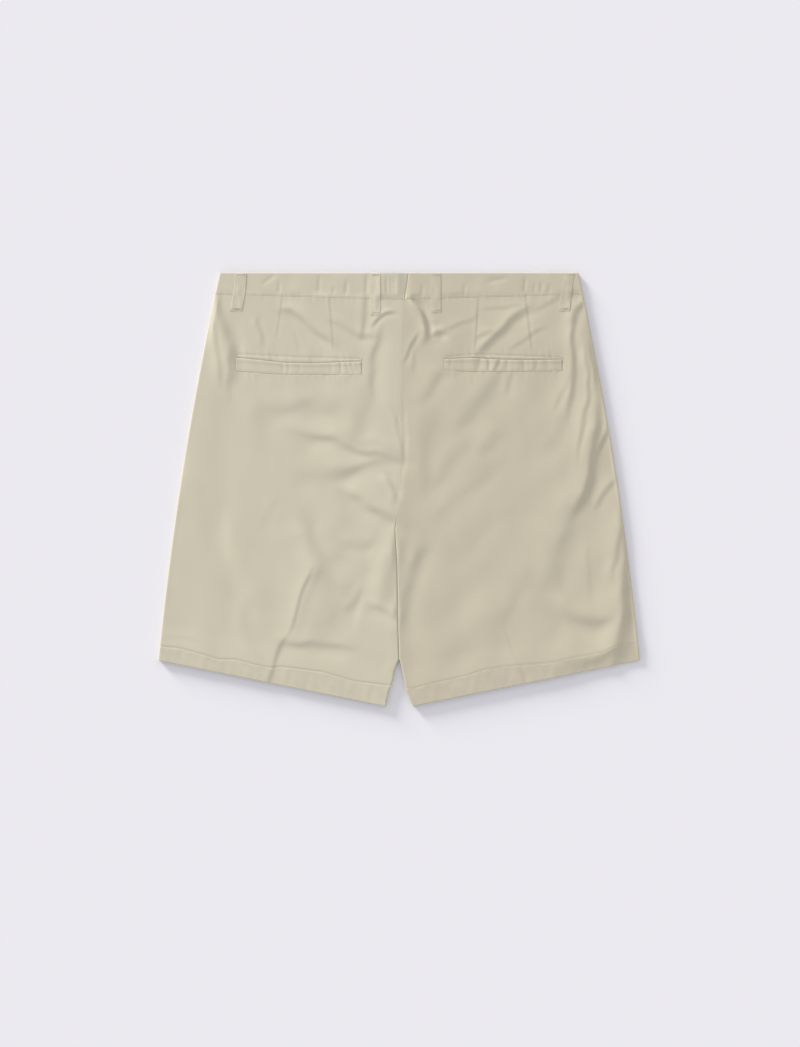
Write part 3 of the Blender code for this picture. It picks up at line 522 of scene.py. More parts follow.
# Puckers of the pocket welts: place across, lean over the welt's depth, width and height
Pucker = namedtuple("Pucker", "x lean width height")
WELT_PUCKERS = {
    -1: (
        Pucker(-168, 4, 4.0, -0.15), Pucker(-139, 1, 2.2, -0.34), Pucker(-132, 1, 2.0, -0.31),
        Pucker(-119, 1, 2.5, -0.19), Pucker(-95, 0, 4.0, 0.12), Pucker(-81, 0, 2.0, -0.25),
        Pucker(-69.5, 0, 1.8, -0.5), Pucker(-61, 5, 2.0, -0.43), Pucker(-55, 5, 2.2, -0.7),
        Pucker(-49.5, 5, 2.2, -0.35),
    ),
    1: (
        Pucker(62, -2, 2.4, -0.19), Pucker(78, 1, 2.5, -0.19), Pucker(88, 1, 3.0, 0.19),
        Pucker(96, -3, 2.6, -0.43), Pucker(104, 0, 2.2, 0.25), Pucker(108, 0, 2.0, -0.37),
        Pucker(114, -5, 3.0, 0.37), Pucker(119, -6, 2.4, -0.43), Pucker(130, -1, 2.6, -0.37),
        Pucker(142, 1, 3.4, 0.25), Pucker(150, 1, 2.0, -0.5), Pucker(160, 1, 3.0, 0.25),
        Pucker(165, -2, 2.6, -0.31), Pucker(178, 2, 3.0, -0.31), Pucker(186, 3, 2.6, 0.19),
    ),
}


def pocket_of(side):
    """The pocket of one side."""
    return next(pocket for pocket in POCKETS if pocket.side == side)


def in_pocket(pocket, x, run):
    """1 between the two ends of a pocket's frame, easing off over the run."""
    inner, outer = pocket.inner_x * MM, pocket.outer_x * MM
    return smooth(pocket.side * (x - inner) / run) * smooth(pocket.side * (outer - x) / run)


def recess(pocket, x, y):
    """Depth of the panel under a welt: deep behind the mouth and shallow at its foot."""
    foot, mouth = at_x(pocket.foot, x), at_x(pocket.mouth, x)
    above = (y - foot) / (mouth - foot) - RECESS_FOOT_SHARE
    return mix(RECESS_FOOT, RECESS, smooth(above / (1.0 - RECESS_FOOT_SHARE)))


def dart_relief(side, x, y):
    """The stitched furrows of a back's two darts."""
    relief = np.zeros(np.shape(x))
    for dart in DARTS:
        if dart.side == side:
            share = np.clip((dart.waist_y * MM - y) / ((dart.waist_y - dart.tip_y) * MM), 0.0, 1.0)
            off_line = x - mix(dart.waist_x, dart.tip_x, share) * MM
            fade = smooth((y - dart.tip_y * MM) / DART_FADE)
            fall = np.tanh(off_line / DART_STEEP) * ridge(off_line, DART_WIDTH)
            pull = mix(DART_SHALLOW, DART_DEEP, 0.5 + 0.5 * np.sin(2 * math.pi * y / DART_STITCH))
            furrow = DART_FALL * fall + DART_GROOVE * ridge(off_line, GROOVE_WIDTH)
            relief = relief - dart.depth * MM * fade * pull * furrow
    return relief


def fell_relief(x, y):
    """The felled centre seam, a low band with two stitched grooves on the left back."""
    to_seam = inner_edge(-1, y) - x
    folded = smooth((FELL_WIDTH - to_seam) / FELL_EDGE) * smooth(to_seam / FELL_ROLL + FELL_AT_SEAM)
    grooves = sum(ridge(to_seam - row, GROOVE_WIDTH) for row in FELL_ROWS)
    return smooth((y - FELL_END_Y) / FELL_FADE) * (FELL_RISE * folded - ROW_GROOVE * grooves)


def pocket_relief(pocket, x, y):
    """The lip over a pocket's mouth, the recess for its welt, and its stitched, puckered frame."""
    top, foot, mouth = (at_x(line, x) for line in (pocket.top, pocket.foot, pocket.mouth))
    lip = smooth((top - y) / LIP_RUN) * smooth((y - mouth) / MOUTH_RUN)
    sunk = smooth((mouth - y) / MOUTH_RUN) * smooth((y - foot) / MOUTH_RUN)
    inside = in_pocket(pocket, x, POCKET_END_RUN)
    relief = inside * (LIP_RISE * lip - recess(pocket, x, y) * sunk)
    along_top = in_pocket(pocket, x, FRAME_GROOVE_END) * ridge(y - top, GROOVE_WIDTH)
    down_ends = sum(ridge(x - end * MM, GROOVE_WIDTH) for end in (pocket.inner_x, pocket.outer_x))
    beside = smooth((top - y) / FRAME_RUN) * smooth((y - foot) / FRAME_RUN)
    relief = relief - FRAME_GROOVE * along_top - ROW_GROOVE * beside * down_ends
    near_frame = ridge(y - (top + foot) / 2, FRAME_REACH) * in_pocket(pocket, x, FRAME_END_RUN)
    return relief + near_frame * swell(FRAME_PUCKERS, x, y)


def hem_relief(side, x, y):
    """The step of the turned-up hem, its stitched groove, and its puckers."""
    below = hem_line(x) - y
    relief = HEM_STEP * smooth((below + HEM_STEP_START) / HEM_STEP_RUN)
    relief = relief - HEM_GROOVES[side] * ridge(below, GROOVE_WIDTH)
    relief = relief + HEM_ROLL * ridge(below + HEM_ROLL_RISE, HEM_ROLL_WIDTH)
    return relief + smooth(below / HEM_PUCKER_RUN) * swell(HEM_PUCKERS, x, y)


def sewn_relief(side, x, y):
    """What sewing raises or sinks from a back's form, down from the puckers under the waistband."""
    relief = smooth(1.0 - (waist_seam(x) - y) / WAIST_PULL_RUN) * swell(WAIST_PUCKERS, x, y)
    if side < 0:
        relief = relief + fell_relief(x, y)
    relief = relief + dart_relief(side, x, y) + pocket_relief(pocket_of(side), x, y)
    return relief + hem_relief(side, x, y)


def upper_side(side, x, y):
    """Height of the finished upper side of a back."""
    return form(side, x, y) + sewn_relief(side, x, y)


def seam_top(x):
    """Height of the waistband's foot, on the backs at the waist seam."""
    y = waist_seam(x)
    left, right = upper_side(-1, x, y), upper_side(1, x, y)
    return np.where(x < at_y(INSEAM_LEFT, y), left, right) + BAND_FOOT_STEP


def button_rise(x, height):
    """A low swelling across the stiff waistband, over the waist button."""
    return height * smooth((BUTTON_REACH - np.abs(x - BUTTON_X)) / BUTTON_SLOPE)


def band_height(x, y):
    """Height of the waistband's upper side."""
    above_seam = y - waist_seam(x)
    height = BAND_TOP + sum(crease_height(crease, x, y) for crease in BAND_CREASES)
    height = height + sum(swell(wave, x, y) for wave in BAND_WAVES)
    height = height - BAND_GROOVE * ridge(above_seam - BAND_ROW_RISE, GROOVE_WIDTH)
    height = height + smooth(1.0 - above_seam / BAND_FOOT_RUN) * swell(BAND_PUCKERS, x, y)
    height = height + button_rise(x, BUTTON_SWELL)
    return mix(seam_top(x), height, smooth(above_seam / BAND_FOOT_RUN))


# Grids of points. A guide is a sewn line that the backs' columns follow: its x at the waist
# seam and at the pocket, in millimetres, and how many columns lie on each side of it, 1 mm apart.
Guide = namedtuple("Guide", "waist pocket beside")
GUIDES = {
    -1: (
        Guide(-0.6, -2.2, 0), Guide(-2.2, -3.8, 0), Guide(-83.5, -78.3, 1),
        Guide(-139.5, -149.5, 1), Guide(-194.0, -196.0, 0),
    ),
    1: (
        Guide(52.0, 54.5, 0), Guide(95.0, 91.2, 1), Guide(151.5, 159.6, 1), Guide(187.0, 196.0, 0),
    ),
}
GUIDE_WAIST_Y = 0.2305
GUIDE_POCKET_Y = 0.1500
EVEN_FROM_Y = 0.020
BACK_PITCH = 1.55 * MM
FRONT_COLUMNS = 64
TURN_ANGLES = tuple(math.radians(angle) for angle in (0, 15, 30, 45, 60, 75))
# A row's height and columns depend on each other, so they are worked out in turns from here
MIDDLE_X = 0.14
SETTLING_TURNS = 4
# A strip of rows starts at its line and ends before the next strip's
Strip = namedtuple("Strip", "line rows")
# Shares of a piece's height or width that lie closest to its rims
BAND_RIM = (0.0, 0.012, 0.03, 0.07)
LOOP_END = (0.0, 0.006, 0.016, 0.035)
LOOP_EDGE = (0.0, 0.03, 0.08, 0.16)
BAND_ROWS = 15
BAND_COLUMNS = 140
BAND_ROLL_COLUMNS = 12
BAND_FRONT_COLUMNS = 60


def share_across(side, x, y):
    """Where a point lies between the end of the inner turn (0) and of the side turn (1)."""
    start, end = flat_ends(side, y)
    return (x - start) / (end - start)


def guided_shares(side):
    """A function that gives the places of a back's columns at one height."""
    guides = [
        (guide.waist + side * step, guide.pocket + side * step)
        for guide in GUIDES[side] for step in range(-guide.beside, guide.beside + 1)
    ]
    at_waist = [0.0] + [share_across(side, x * MM, GUIDE_WAIST_Y) for x, _ in guides] + [1.0]
    at_pocket = [0.0] + [share_across(side, x * MM, GUIDE_POCKET_Y) for _, x in guides] + [1.0]
    pitch_share = BACK_PITCH / half_width(GUIDE_WAIST_Y)
    counts = [max(1, round((b - a) / pitch_share)) for a, b in zip(at_waist, at_waist[1:])]
    knots = np.concatenate(([0], np.cumsum(counts)))
    columns = np.arange(knots[-1] + 1)
    waist = np.interp(columns, knots, at_waist)
    pocket = np.interp(columns, knots, at_pocket)

    def shares(y):
        upper = np.clip((GUIDE_WAIST_Y - y) / (GUIDE_WAIST_Y - GUIDE_POCKET_Y), 0.0, 1.0)
        lower = smooth((GUIDE_POCKET_Y - y) / (GUIDE_POCKET_Y - EVEN_FROM_Y))
        return mix(mix(waist, pocket, upper), columns / knots[-1], lower)

    return shares


def even_shares(y):
    """The places of a front's columns, the same at every height."""
    return np.linspace(0.0, 1.0, FRONT_COLUMNS + 1)


def shifted(line, rise):
    """A line moved up by some millimetres."""
    return lambda x: line(x) + rise * MM


def panel_plan(side, strips, shares):
    """Plan of a panel in rows from the waist down, inner turn first and side turn last."""
    insets = np.array([1 - math.cos(angle) for angle in TURN_ANGLES])
    plan = []
    for strip, after in zip(strips, strips[1:] + strips[-1:]):
        for share in np.arange(strip.rows) / strip.rows:
            x = np.full(1, side * MIDDLE_X)
            across = shares(float(mix(strip.line(x), after.line(x), share)[0]))
            for _ in range(SETTLING_TURNS):
                y = mix(strip.line(x), after.line(x), share)
                x = mix(*flat_ends(side, y), across)
            inner_x = inner_edge(side, y[0]) + side * INNER_TURN * insets
            side_x = side * (half_width(y[-1]) - SIDE_TURN * insets[::-1])
            row_x = np.concatenate((inner_x, x, side_x))
            plan.append(np.stack((row_x, np.pad(y, len(insets), mode="edge")), axis=1))
    return np.array(plan)


def unit(normals):
    """Normals brought to length 1."""
    return normals / np.linalg.norm(normals, axis=2, keepdims=True)


def surface_normals(points):
    """Unit normals of a grid of points, on its upper side."""
    normals = unit(np.cross(np.gradient(points, axis=1), np.gradient(points, axis=0)))
    return normals * np.sign(normals[..., 2:3])


def turned_panel(points, normals, side, upwards):
    """A panel with its long edges turned towards half the garment's height, up (1) or down (-1)."""
    count = len(TURN_ANGLES)
    leg = leg_share(points[:, 0, 1])
    inner_depth, side_depth = (
        form(side, points[:, column, 0], points[:, column, 1]) / 2 for column in (count, -1 - count)
    )
    for place, angle in enumerate(TURN_ANGLES):
        for column, outward, share, depth, turn in (
            (place, -side, leg, inner_depth, INNER_TURN),
            (-1 - place, side, 1.0, side_depth, SIDE_TURN),
        ):
            fall = share * (depth - SEAM_GAP / 2) * (1 - math.sin(angle))
            points[:, column, 2] -= upwards * fall
            normals[:, column, 0] = outward * share * depth * math.cos(angle)
            normals[:, column, 1] = 0.0
            normals[:, column, 2] = upwards * mix(turn, turn * math.sin(angle), share)
    return points, unit(normals)


def leg_cloth(x, y, run):
    """Thickness of a leg's cloth, which grows over a run below the hem's stitches."""
    return mix(BACK_CLOTH, HEM_CLOTH, smooth((hem_line(x) - y) / run))


def back_grid(side):
    """Outer points, normals and thickness of a back."""
    pocket = pocket_of(side)
    strips = (
        Strip(waist_seam, 3), Strip(shifted(waist_seam, -1.5), 42),
        Strip(shifted(partial(at_x, pocket.top), 1.5), 25),
        Strip(shifted(partial(at_x, pocket.foot), -1.5), 184),
        Strip(shifted(hem_line, 3), 7), Strip(shifted(hem_line, -2), 12),
        Strip(shifted(hem_edge, 0.8), 3), Strip(hem_edge, 1),
    )
    plan = panel_plan(side, strips, guided_shares(side))
    x, y = plan[..., 0], plan[..., 1]
    points = np.dstack((x, y, form(side, x, y)))
    points, normals = turned_panel(points, surface_normals(points), side, 1)
    points = points + normals * sewn_relief(side, x, y)[..., None]
    return points, normals, leg_cloth(x, y, 1.2 * MM)


def front_grid(side):
    """Outer points, normals and thickness of a front, which lies flat on the surface."""
    strips = (
        Strip(waist_seam, 3), Strip(shifted(waist_seam, -2), 96), Strip(shifted(hem_line, 2), 4),
        Strip(shifted(hem_line, -2), 6), Strip(shifted(hem_edge, 0.8), 3), Strip(hem_edge, 1),
    )
    plan = panel_plan(side, strips, even_shares)
    x, y = plan[..., 0], plan[..., 1]
    points = np.dstack((x, y, np.zeros(x.shape)))
    downwards = np.tile((0.0, 0.0, -1.0), (*x.shape, 1))
    points, normals = turned_panel(points, downwards, side, -1)
    return points, normals, leg_cloth(x, y, 1.5 * MM)


def closer_at_rims(near, count):
    """Shares from 0 to 1: those given near the first rim, even ones, and the same at the last."""
    near = np.array(near)
    return np.concatenate((near[:-1], np.linspace(near[-1], 1 - near[-1], count), 1 - near[-2::-1]))


def band_grid(side):
    """Outer points, normals and thickness of half a waistband, from back seam to front."""
    side_foot = waist_seam(side * SIDE_HALF_WIDTH) + BUTT_GAP
    angles = np.linspace(math.pi / 2, -math.pi / 2, BAND_ROLL_COLUMNS + 2)[1:-1]
    points, normals = [], []
    for share in closer_at_rims(BAND_RIM, BAND_ROWS):
        start = mix(BAND_SEAM_FOOT_X, BAND_SEAM_TOP_X, share) + side * BUTT_GAP / 2
        turn_x = side * (half_width(mix(side_foot, WAIST_EDGE_Y, share)) - SIDE_TURN)
        back_x = np.linspace(start, turn_x, BAND_COLUMNS)
        front_x = np.linspace(turn_x, FRONT_CLOSING_X + side * SEAM_GAP / 2, BAND_FRONT_COLUMNS)
        x = np.concatenate((back_x, turn_x + side * SIDE_TURN * np.cos(angles), front_x))
        y = mix(waist_seam(x) + BUTT_GAP, WAIST_EDGE_Y, share)
        top = band_height(back_x, y[:BAND_COLUMNS])
        depth = top[-1] / 2
        under = button_rise(front_x, BUTTON_HEIGHT + SEAM_GAP)
        z = np.concatenate((top, depth + depth * np.sin(angles), under))
        slopes = -np.gradient(top, back_x), np.gradient(under, front_x)
        normal_x = np.concatenate((slopes[0], side * depth * np.cos(angles), slopes[1]))
        normal_z = np.concatenate((np.ones(len(top)), SIDE_TURN * np.sin(angles), -np.ones(len(under))))
        points.append(np.stack((x, y, z), axis=1))
        normals.append(np.stack((normal_x, 0 * x, normal_z), axis=1))
    points = np.array(points)
    return points, unit(np.array(normals)), np.full(points.shape[:2], BAND_CLOTH)


def neighbours(heights, reach=2):
    """Each row's heights and those of the rows up to reach before and after it, stacked."""
    padded = np.pad(heights, ((reach, reach), (0, 0)), mode="edge")
    return np.stack([padded[first : first + len(heights)] for first in range(2 * reach + 1)])


LOOP_ROWS = 44
LOOP_COLUMNS = 9
LOOP_TOP_Y = WAIST_EDGE_Y - 0.4 * MM
LOOP_AIR = 0.03 * MM
LOOP_ARCH = 0.06 * MM
LOOP_ARCH_RUN = 0.1
# Place of a loop's edge stitches from its middle (0) to its edge (1), and their groove
LOOP_ROW_PLACE = 0.72
LOOP_ROW_WIDTH = 0.10
LOOP_GROOVE = 0.12 * MM
# A loop's foot is tucked under
LOOP_TUCK = 0.25 * MM
LOOP_TUCK_RUN = 0.05


def loop_grid(loop):
    """Outer points, normals and thickness of a belt loop."""
    rows = closer_at_rims(LOOP_END, LOOP_ROWS)[:, None]
    columns = closer_at_rims(LOOP_EDGE, LOOP_COLUMNS)
    y = mix(LOOP_TOP_Y, loop.foot_y * MM, rows) + 0 * columns
    inner, outer = mix(loop.top_inner, loop.foot_inner, rows), mix(loop.top_outer, loop.foot_outer, rows)
    x = (mix(inner, outer, columns) + loop.bow * np.sin(math.pi * rows)) * MM
    on_band = y > waist_seam(x) + BUTT_GAP
    base = np.where(on_band, band_height(x, y), upper_side(loop.side, x, y))
    base = neighbours(neighbours(base).max(axis=0)).mean(axis=0)
    across = np.abs(2 * columns - 1)
    ends = smooth(rows / LOOP_ARCH_RUN) * smooth((1 - rows) / LOOP_ARCH_RUN)
    z = base + LOOP_AIR + LOOP_CLOTH + LOOP_ARCH * ends * (1 - across**4) + swell(LOOP_WAVE, x, y)
    z = z - LOOP_GROOVE * ridge(across - LOOP_ROW_PLACE, LOOP_ROW_WIDTH)
    z = z - LOOP_TUCK * smooth(1 - (1 - rows) / LOOP_TUCK_RUN)
    points = np.dstack((x, y, z))
    return points, surface_normals(points), np.full(x.shape, LOOP_CLOTH)


WELT_COLUMNS = 126
WELT_MARGIN_MM = 0.2
WELT_AIR = 0.2 * MM
WELT_LEAST = 0.35 * MM
WELT_MOUTH_GAP = 0.9 * MM
WELT_FOOT_GAP = 0.1 * MM
# Shares of the welt's height from its mouth down: its rolled fold, its row of stitches, and
# the stretch above its foot where the row holds its puckers down to a share of their height
WELT_ROLL = 0.35 * MM
WELT_ROLL_SHARE = 0.12
WELT_ROLL_WIDTH = 0.16
WELT_ROW_SHARE = 0.93
WELT_ROW_WIDTH = 0.05
WELT_HELD_SHARE = 0.35
WELT_HELD_LEAST = 0.35
# The ends of a welt are pulled in by the frame's tacks
WELT_END_PULL = 0.25 * MM
WELT_END_PLACE = 1.6 * MM
WELT_END_WIDTH = 0.8 * MM


def welt_grid(side):
    """Outer points, normals and thickness of the strip that closes a pocket's mouth."""
    pocket = pocket_of(side)
    margin = side * WELT_MARGIN_MM
    rows = np.concatenate(([0.0, 0.02, 0.05], np.linspace(0.1, 0.94, 13), [0.975, 1.0]))[:, None]
    x_row = np.linspace(pocket.inner_x + margin, pocket.outer_x - margin, WELT_COLUMNS) * MM
    mouth, foot = at_x(pocket.mouth, x_row) - WELT_MOUTH_GAP, at_x(pocket.foot, x_row) + WELT_FOOT_GAP
    y = mix(mouth, foot, rows)
    x = x_row + 0 * rows
    under = form(side, x, y) - recess(pocket, x, y)
    z = under + WELT_AIR + WELT_CLOTH
    held = mix(WELT_HELD_LEAST, 1.0, smooth((1.0 - rows) / WELT_HELD_SHARE))
    for pucker in WELT_PUCKERS[side]:
        line = (pucker.x + pucker.lean * (rows - 0.5)) * MM
        z = z + pucker.height * MM * held * ridge(x - line, pucker.width * MM)
    z = z + WELT_ROLL * ridge(rows - WELT_ROLL_SHARE, WELT_ROLL_WIDTH)
    z = z - ROW_GROOVE * ridge(rows - WELT_ROW_SHARE, WELT_ROW_WIDTH)
    to_end = np.minimum(np.abs(x - x_row[0]), np.abs(x - x_row[-1]))
    z = z - WELT_END_PULL * ridge(to_end - WELT_END_PLACE, WELT_END_WIDTH)
    points = np.dstack((x, y, np.maximum(z, under + WELT_LEAST)))
    return points, surface_normals(points), np.full(x.shape, WELT_CLOTH)


def rim_share(points, thickness, first_sewn):
    """How full the wall is at each row: thin and round at its free first and last rims."""
    steps = np.linalg.norm(np.diff(points, axis=0), axis=2).mean(axis=1)
    travelled = np.concatenate(([0.0], np.cumsum(steps)))
    to_rim = travelled[-1] - travelled
    if not first_sewn:
        to_rim = np.minimum(to_rim, travelled)
    rounding = np.clip(1.0 - to_rim[:, None] / (RIM_ROUND * thickness), 0.0, 1.0)
    return np.maximum(RIM_LEAST, np.sqrt(1.0 - rounding**2))


def wall_faces(rows, columns):
    """Faces of an outer and an inner grid of points and of the rim that joins them."""
    numbers = np.arange(rows * columns).reshape(rows, columns)
    a, b = numbers[:-1, :-1], numbers[:-1, 1:]
    c, d = numbers[1:, 1:], numbers[1:, :-1]
    outer = np.stack((a, d, c, b), axis=-1).reshape(-1, 4)
    inner = np.stack((a, b, c, d), axis=-1).reshape(-1, 4) + rows * columns
    rim = np.concatenate((numbers[0], numbers[1:, -1], numbers[-1, -2::-1], numbers[-2:0:-1, 0]))
    after = np.roll(rim, -1)
    sides = np.stack((rim, after, after + rows * columns, rim + rows * columns), axis=-1)
    return np.concatenate((outer, inner, sides))


def weave_places(points):
    """Where each point lies in the weave: as far along its row as the cloth runs, and at its y."""
    across = np.cumsum(np.linalg.norm(np.diff(points, axis=1), axis=2), axis=1)
    u = points[:, :1, 0] + np.pad(across, ((0, 0), (1, 0)))
    return np.stack((u, points[..., 1]), axis=-1).reshape(-1, 2)


def shell(name, grid, material, first_sewn):
    """A closed thin wall of cloth under a grid of outer points, with its weave laid out in UV.
    A first rim that is sewn to another piece keeps its full thickness."""
    points, normals, thickness = grid
    full = rim_share(points, thickness, first_sewn)
    middle = points - normals * (thickness / 2)[..., None]
    half = normals * (thickness / 2 * full)[..., None]
    skins = np.stack((middle + half, middle - half))
    data = bpy.data.meshes.new(name)
    data.from_pydata(skins.reshape(-1, 3).tolist(), [], wall_faces(*points.shape[:2]).tolist())
    places = np.tile(weave_places(points), (2, 1))
    corners = np.zeros(len(data.loops), dtype=np.int32)
    data.loops.foreach_get("vertex_index", corners)
    layer = data.uv_layers.new(name="Cloth")
    layer.data.foreach_set("uv", places[corners].ravel().astype(np.float32))
    mesh = bmesh.new()
    mesh.from_mesh(data)
    bmesh.ops.recalc_face_normals(mesh, faces=mesh.faces)
    mesh.to_mesh(data)
    mesh.free()
    return placed(name, data, material)


def placed(name, data, material):
    """A smooth shaded object at the origin that holds a mesh."""
    data.materials.clear()
    data.materials.append(material)
    data.shade_smooth()
    made = bpy.data.objects.new(name, data)
    bpy.context.scene.collection.objects.link(made)
    return made


def lay_cloth(node, side, grid, first_sewn=False):
    """Make the cloth of a node, attach it to the root and hide the node's part."""
    piece = shell(f"{node}_cloth", grid, twill_of(side), first_sewn)
    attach(piece, "root")
    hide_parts(node)


# Materials


def linear(text):
    """Linear colour of an sRGB hex value."""
    shades = [int(text[place : place + 2], 16) / 255 for place in (0, 2, 4)]
    return tuple(s / 12.92 if s <= 0.04045 else ((s + 0.055) / 1.055) ** 2.4 for s in shades) + (1.0,)


def shaded(colour, factor):
    """A linear colour made darker or lighter."""
    return tuple(min(1.0, channel * factor) for channel in colour[:3]) + (1.0,)


def add_node(tree, kind, settings=None, **links):
    """Add a node to a tree, set its properties and inputs, and link what is a socket. An input
    goes by its name, with _ for a space, or by its number, as in i0."""
    node = tree.nodes.new(kind)
    for key, value in (settings or {}).items():
        setattr(node, key, value)
    for key, value in links.items():
        numbered = key[0] == "i" and key[1:].isdigit()
        socket = node.inputs[int(key[1:]) if numbered else key.replace("_", " ")]
        if isinstance(value, bpy.types.NodeSocket):
            tree.links.new(value, socket)
        else:
            socket.default_value = value
    return node


def new_material(name):
    """A material with an empty tree, its shader and its output."""
    material = bpy.data.materials.new(name)
    material.use_nodes = True
    tree = material.node_tree
    tree.nodes.clear()
    shader = tree.nodes.new("ShaderNodeBsdfPrincipled")
    output = tree.nodes.new("ShaderNodeOutputMaterial")
    tree.links.new(shader.outputs["BSDF"], output.inputs["Surface"])
    return material, tree, shader


def set_inputs(shader, **values):
    """Set inputs of a shader by name, with _ for a space."""
    for key, value in values.items():
        shader.inputs[key.replace("_", " ")].default_value = value


# At scale 1, the wave texture repeats after this distance
WAVE_PERIOD = 2 * math.pi / 20
DYE_PATCH = 45 * MM
RIB_RELIEF = 0.06 * MM
THREAD_TWIST = 0.35 * MM
TWIST_RELIEF = 0.05 * MM
HORN_STREAK = 4 * MM


def twill_material(name, shade):
    """Combed cotton twill, piece-dyed and pressed: fine diagonal ribs with painted shade in
    their valleys, a soft low sheen on the floats, slightly uneven dye, and a fuzz too fine to
    see that lifts the grazing light."""
    cloth = bpy.context.scene.shorts_cloth
    material, tree, shader = new_material(name)
    place = add_node(tree, "ShaderNodeUVMap", {"uv_map": "Cloth"})
    object_place = add_node(tree, "ShaderNodeTexCoord")
    ribs = add_node(
        tree, "ShaderNodeMapping",
        Vector=place.outputs["UV"], Rotation=(0.0, 0.0, math.radians(cloth.twill_angle)),
    )
    twill = add_node(
        tree, "ShaderNodeTexWave", {"wave_type": "BANDS", "bands_direction": "X", "wave_profile": "SIN"},
        Vector=ribs.outputs["Vector"], Scale=WAVE_PERIOD / cloth.twill_pitch,
        Distortion=1.2, Detail=2.0, Detail_Scale=1.5,
    )
    yarn = add_node(
        tree, "ShaderNodeTexNoise", Vector=place.outputs["UV"], Scale=1 / cloth.yarn_size, Detail=3.0,
    )
    dye = add_node(
        tree, "ShaderNodeTexNoise",
        Vector=object_place.outputs["Object"], Scale=1 / DYE_PATCH, Detail=4.0, Roughness=0.55,
    )
    tint = linear(shade)
    dyed = add_node(
        tree, "ShaderNodeMix", {"data_type": "RGBA"},
        i0=dye.outputs["Fac"], i6=shaded(tint, 0.955), i7=shaded(tint, 1.03),
    )
    # Painted shade: the colour darkens a little in the valleys between the twill's ribs, where the bump
    # is low
    valley_painted_shade = add_node(
        tree, "ShaderNodeMapRange",
        Value=twill.outputs["Fac"], From_Min=0.0, From_Max=0.45, To_Min=0.22, To_Max=0.0,
    )
    colour_with_valley_shade = add_node(
        tree, "ShaderNodeMix", {"data_type": "RGBA"},
        i0=valley_painted_shade.outputs["Result"], i6=dyed.outputs[2], i7=shaded(tint, 0.90),
    )
    rough = add_node(
        tree, "ShaderNodeMapRange",
        Value=yarn.outputs["Fac"], From_Min=0.2, From_Max=0.8, To_Min=0.58, To_Max=0.72,
    )
    weave = add_node(
        tree, "ShaderNodeMath", {"operation": "MULTIPLY_ADD"},
        i0=yarn.outputs["Fac"], i1=0.5, i2=twill.outputs["Fac"],
    )
    bump = add_node(
        tree, "ShaderNodeBump", Strength=0.35, Distance=RIB_RELIEF, Height=weave.outputs["Value"],
    )
    tree.links.new(colour_with_valley_shade.outputs[2], shader.inputs["Base Color"])
    tree.links.new(rough.outputs["Result"], shader.inputs["Roughness"])
    tree.links.new(bump.outputs["Normal"], shader.inputs["Normal"])
    set_inputs(shader, IOR=1.47, Specular_IOR_Level=0.35)
    set_inputs(shader, Sheen_Weight=0.10, Sheen_Roughness=0.45, Sheen_Tint=shaded(tint, 1.03))
    return material


def thread_material():
    """Cotton-wrapped polyester sewing thread: matt, twisted and a touch lighter than the cloth."""
    cloth = bpy.context.scene.shorts_cloth
    material, tree, shader = new_material("sewing thread")
    place = add_node(tree, "ShaderNodeTexCoord")
    twist = add_node(
        tree, "ShaderNodeTexNoise", Vector=place.outputs["Object"], Scale=1 / THREAD_TWIST, Detail=2.0,
    )
    tint = linear(cloth.thread_colour)
    colour = add_node(
        tree, "ShaderNodeMix", {"data_type": "RGBA"},
        i0=twist.outputs["Fac"], i6=shaded(tint, 0.80), i7=tint,
    )
    bump = add_node(
        tree, "ShaderNodeBump", Strength=0.3, Distance=TWIST_RELIEF, Height=twist.outputs["Fac"],
    )
    tree.links.new(colour.outputs[2], shader.inputs["Base Color"])
    tree.links.new(bump.outputs["Normal"], shader.inputs["Normal"])
    set_inputs(shader, Roughness=0.6, Specular_IOR_Level=0.3)
    return material


def horn_material():
    """Pressed and tumbled horn: brown with paler streaks, polished to a soft gloss."""
    cloth = bpy.context.scene.shorts_cloth
    material, tree, shader = new_material("horn button")
    place = add_node(tree, "ShaderNodeTexCoord")
    stretched = add_node(
        tree, "ShaderNodeMapping", Vector=place.outputs["Object"], Scale=(1.0, 3.5, 1.0),
    )
    streaks = add_node(
        tree, "ShaderNodeTexNoise",
        Vector=stretched.outputs["Vector"], Scale=1 / HORN_STREAK, Detail=5.0, Distortion=0.8,
    )
    tint = linear(cloth.button_colour)
    colour = add_node(
        tree, "ShaderNodeMix", {"data_type": "RGBA"},
        i0=streaks.outputs["Fac"], i6=tint, i7=shaded(tint, 3.0),
    )
    rough = add_node(
        tree, "ShaderNodeMapRange", Value=streaks.outputs["Fac"], To_Min=0.25, To_Max=0.42,
    )
    tree.links.new(colour.outputs[2], shader.inputs["Base Color"])
    tree.links.new(rough.outputs["Result"], shader.inputs["Roughness"])
    set_inputs(shader, IOR=1.54)
    return material


def material_named(name, make, *settings):
    """The material of a name, made when it is first asked for."""
    return bpy.data.materials.get(name) or make(*settings)


def twill_of(side):
    """The cloth of one side: the right panels are painted a shade darker than the left, painted
    shade for the deeper look that light gives their mirrored twill.
    """
    cloth = bpy.context.scene.shorts_cloth
    # Painted shade: the right side's cloth is a darker copy of the left's, for how light falls on it
    word, colour = ("left", cloth.left_colour) if side < 0 else ("right", cloth.right_shaded_colour)
    name = f"cotton twill, {word}"
    return material_named(name, twill_material, name, colour)


# Sewing


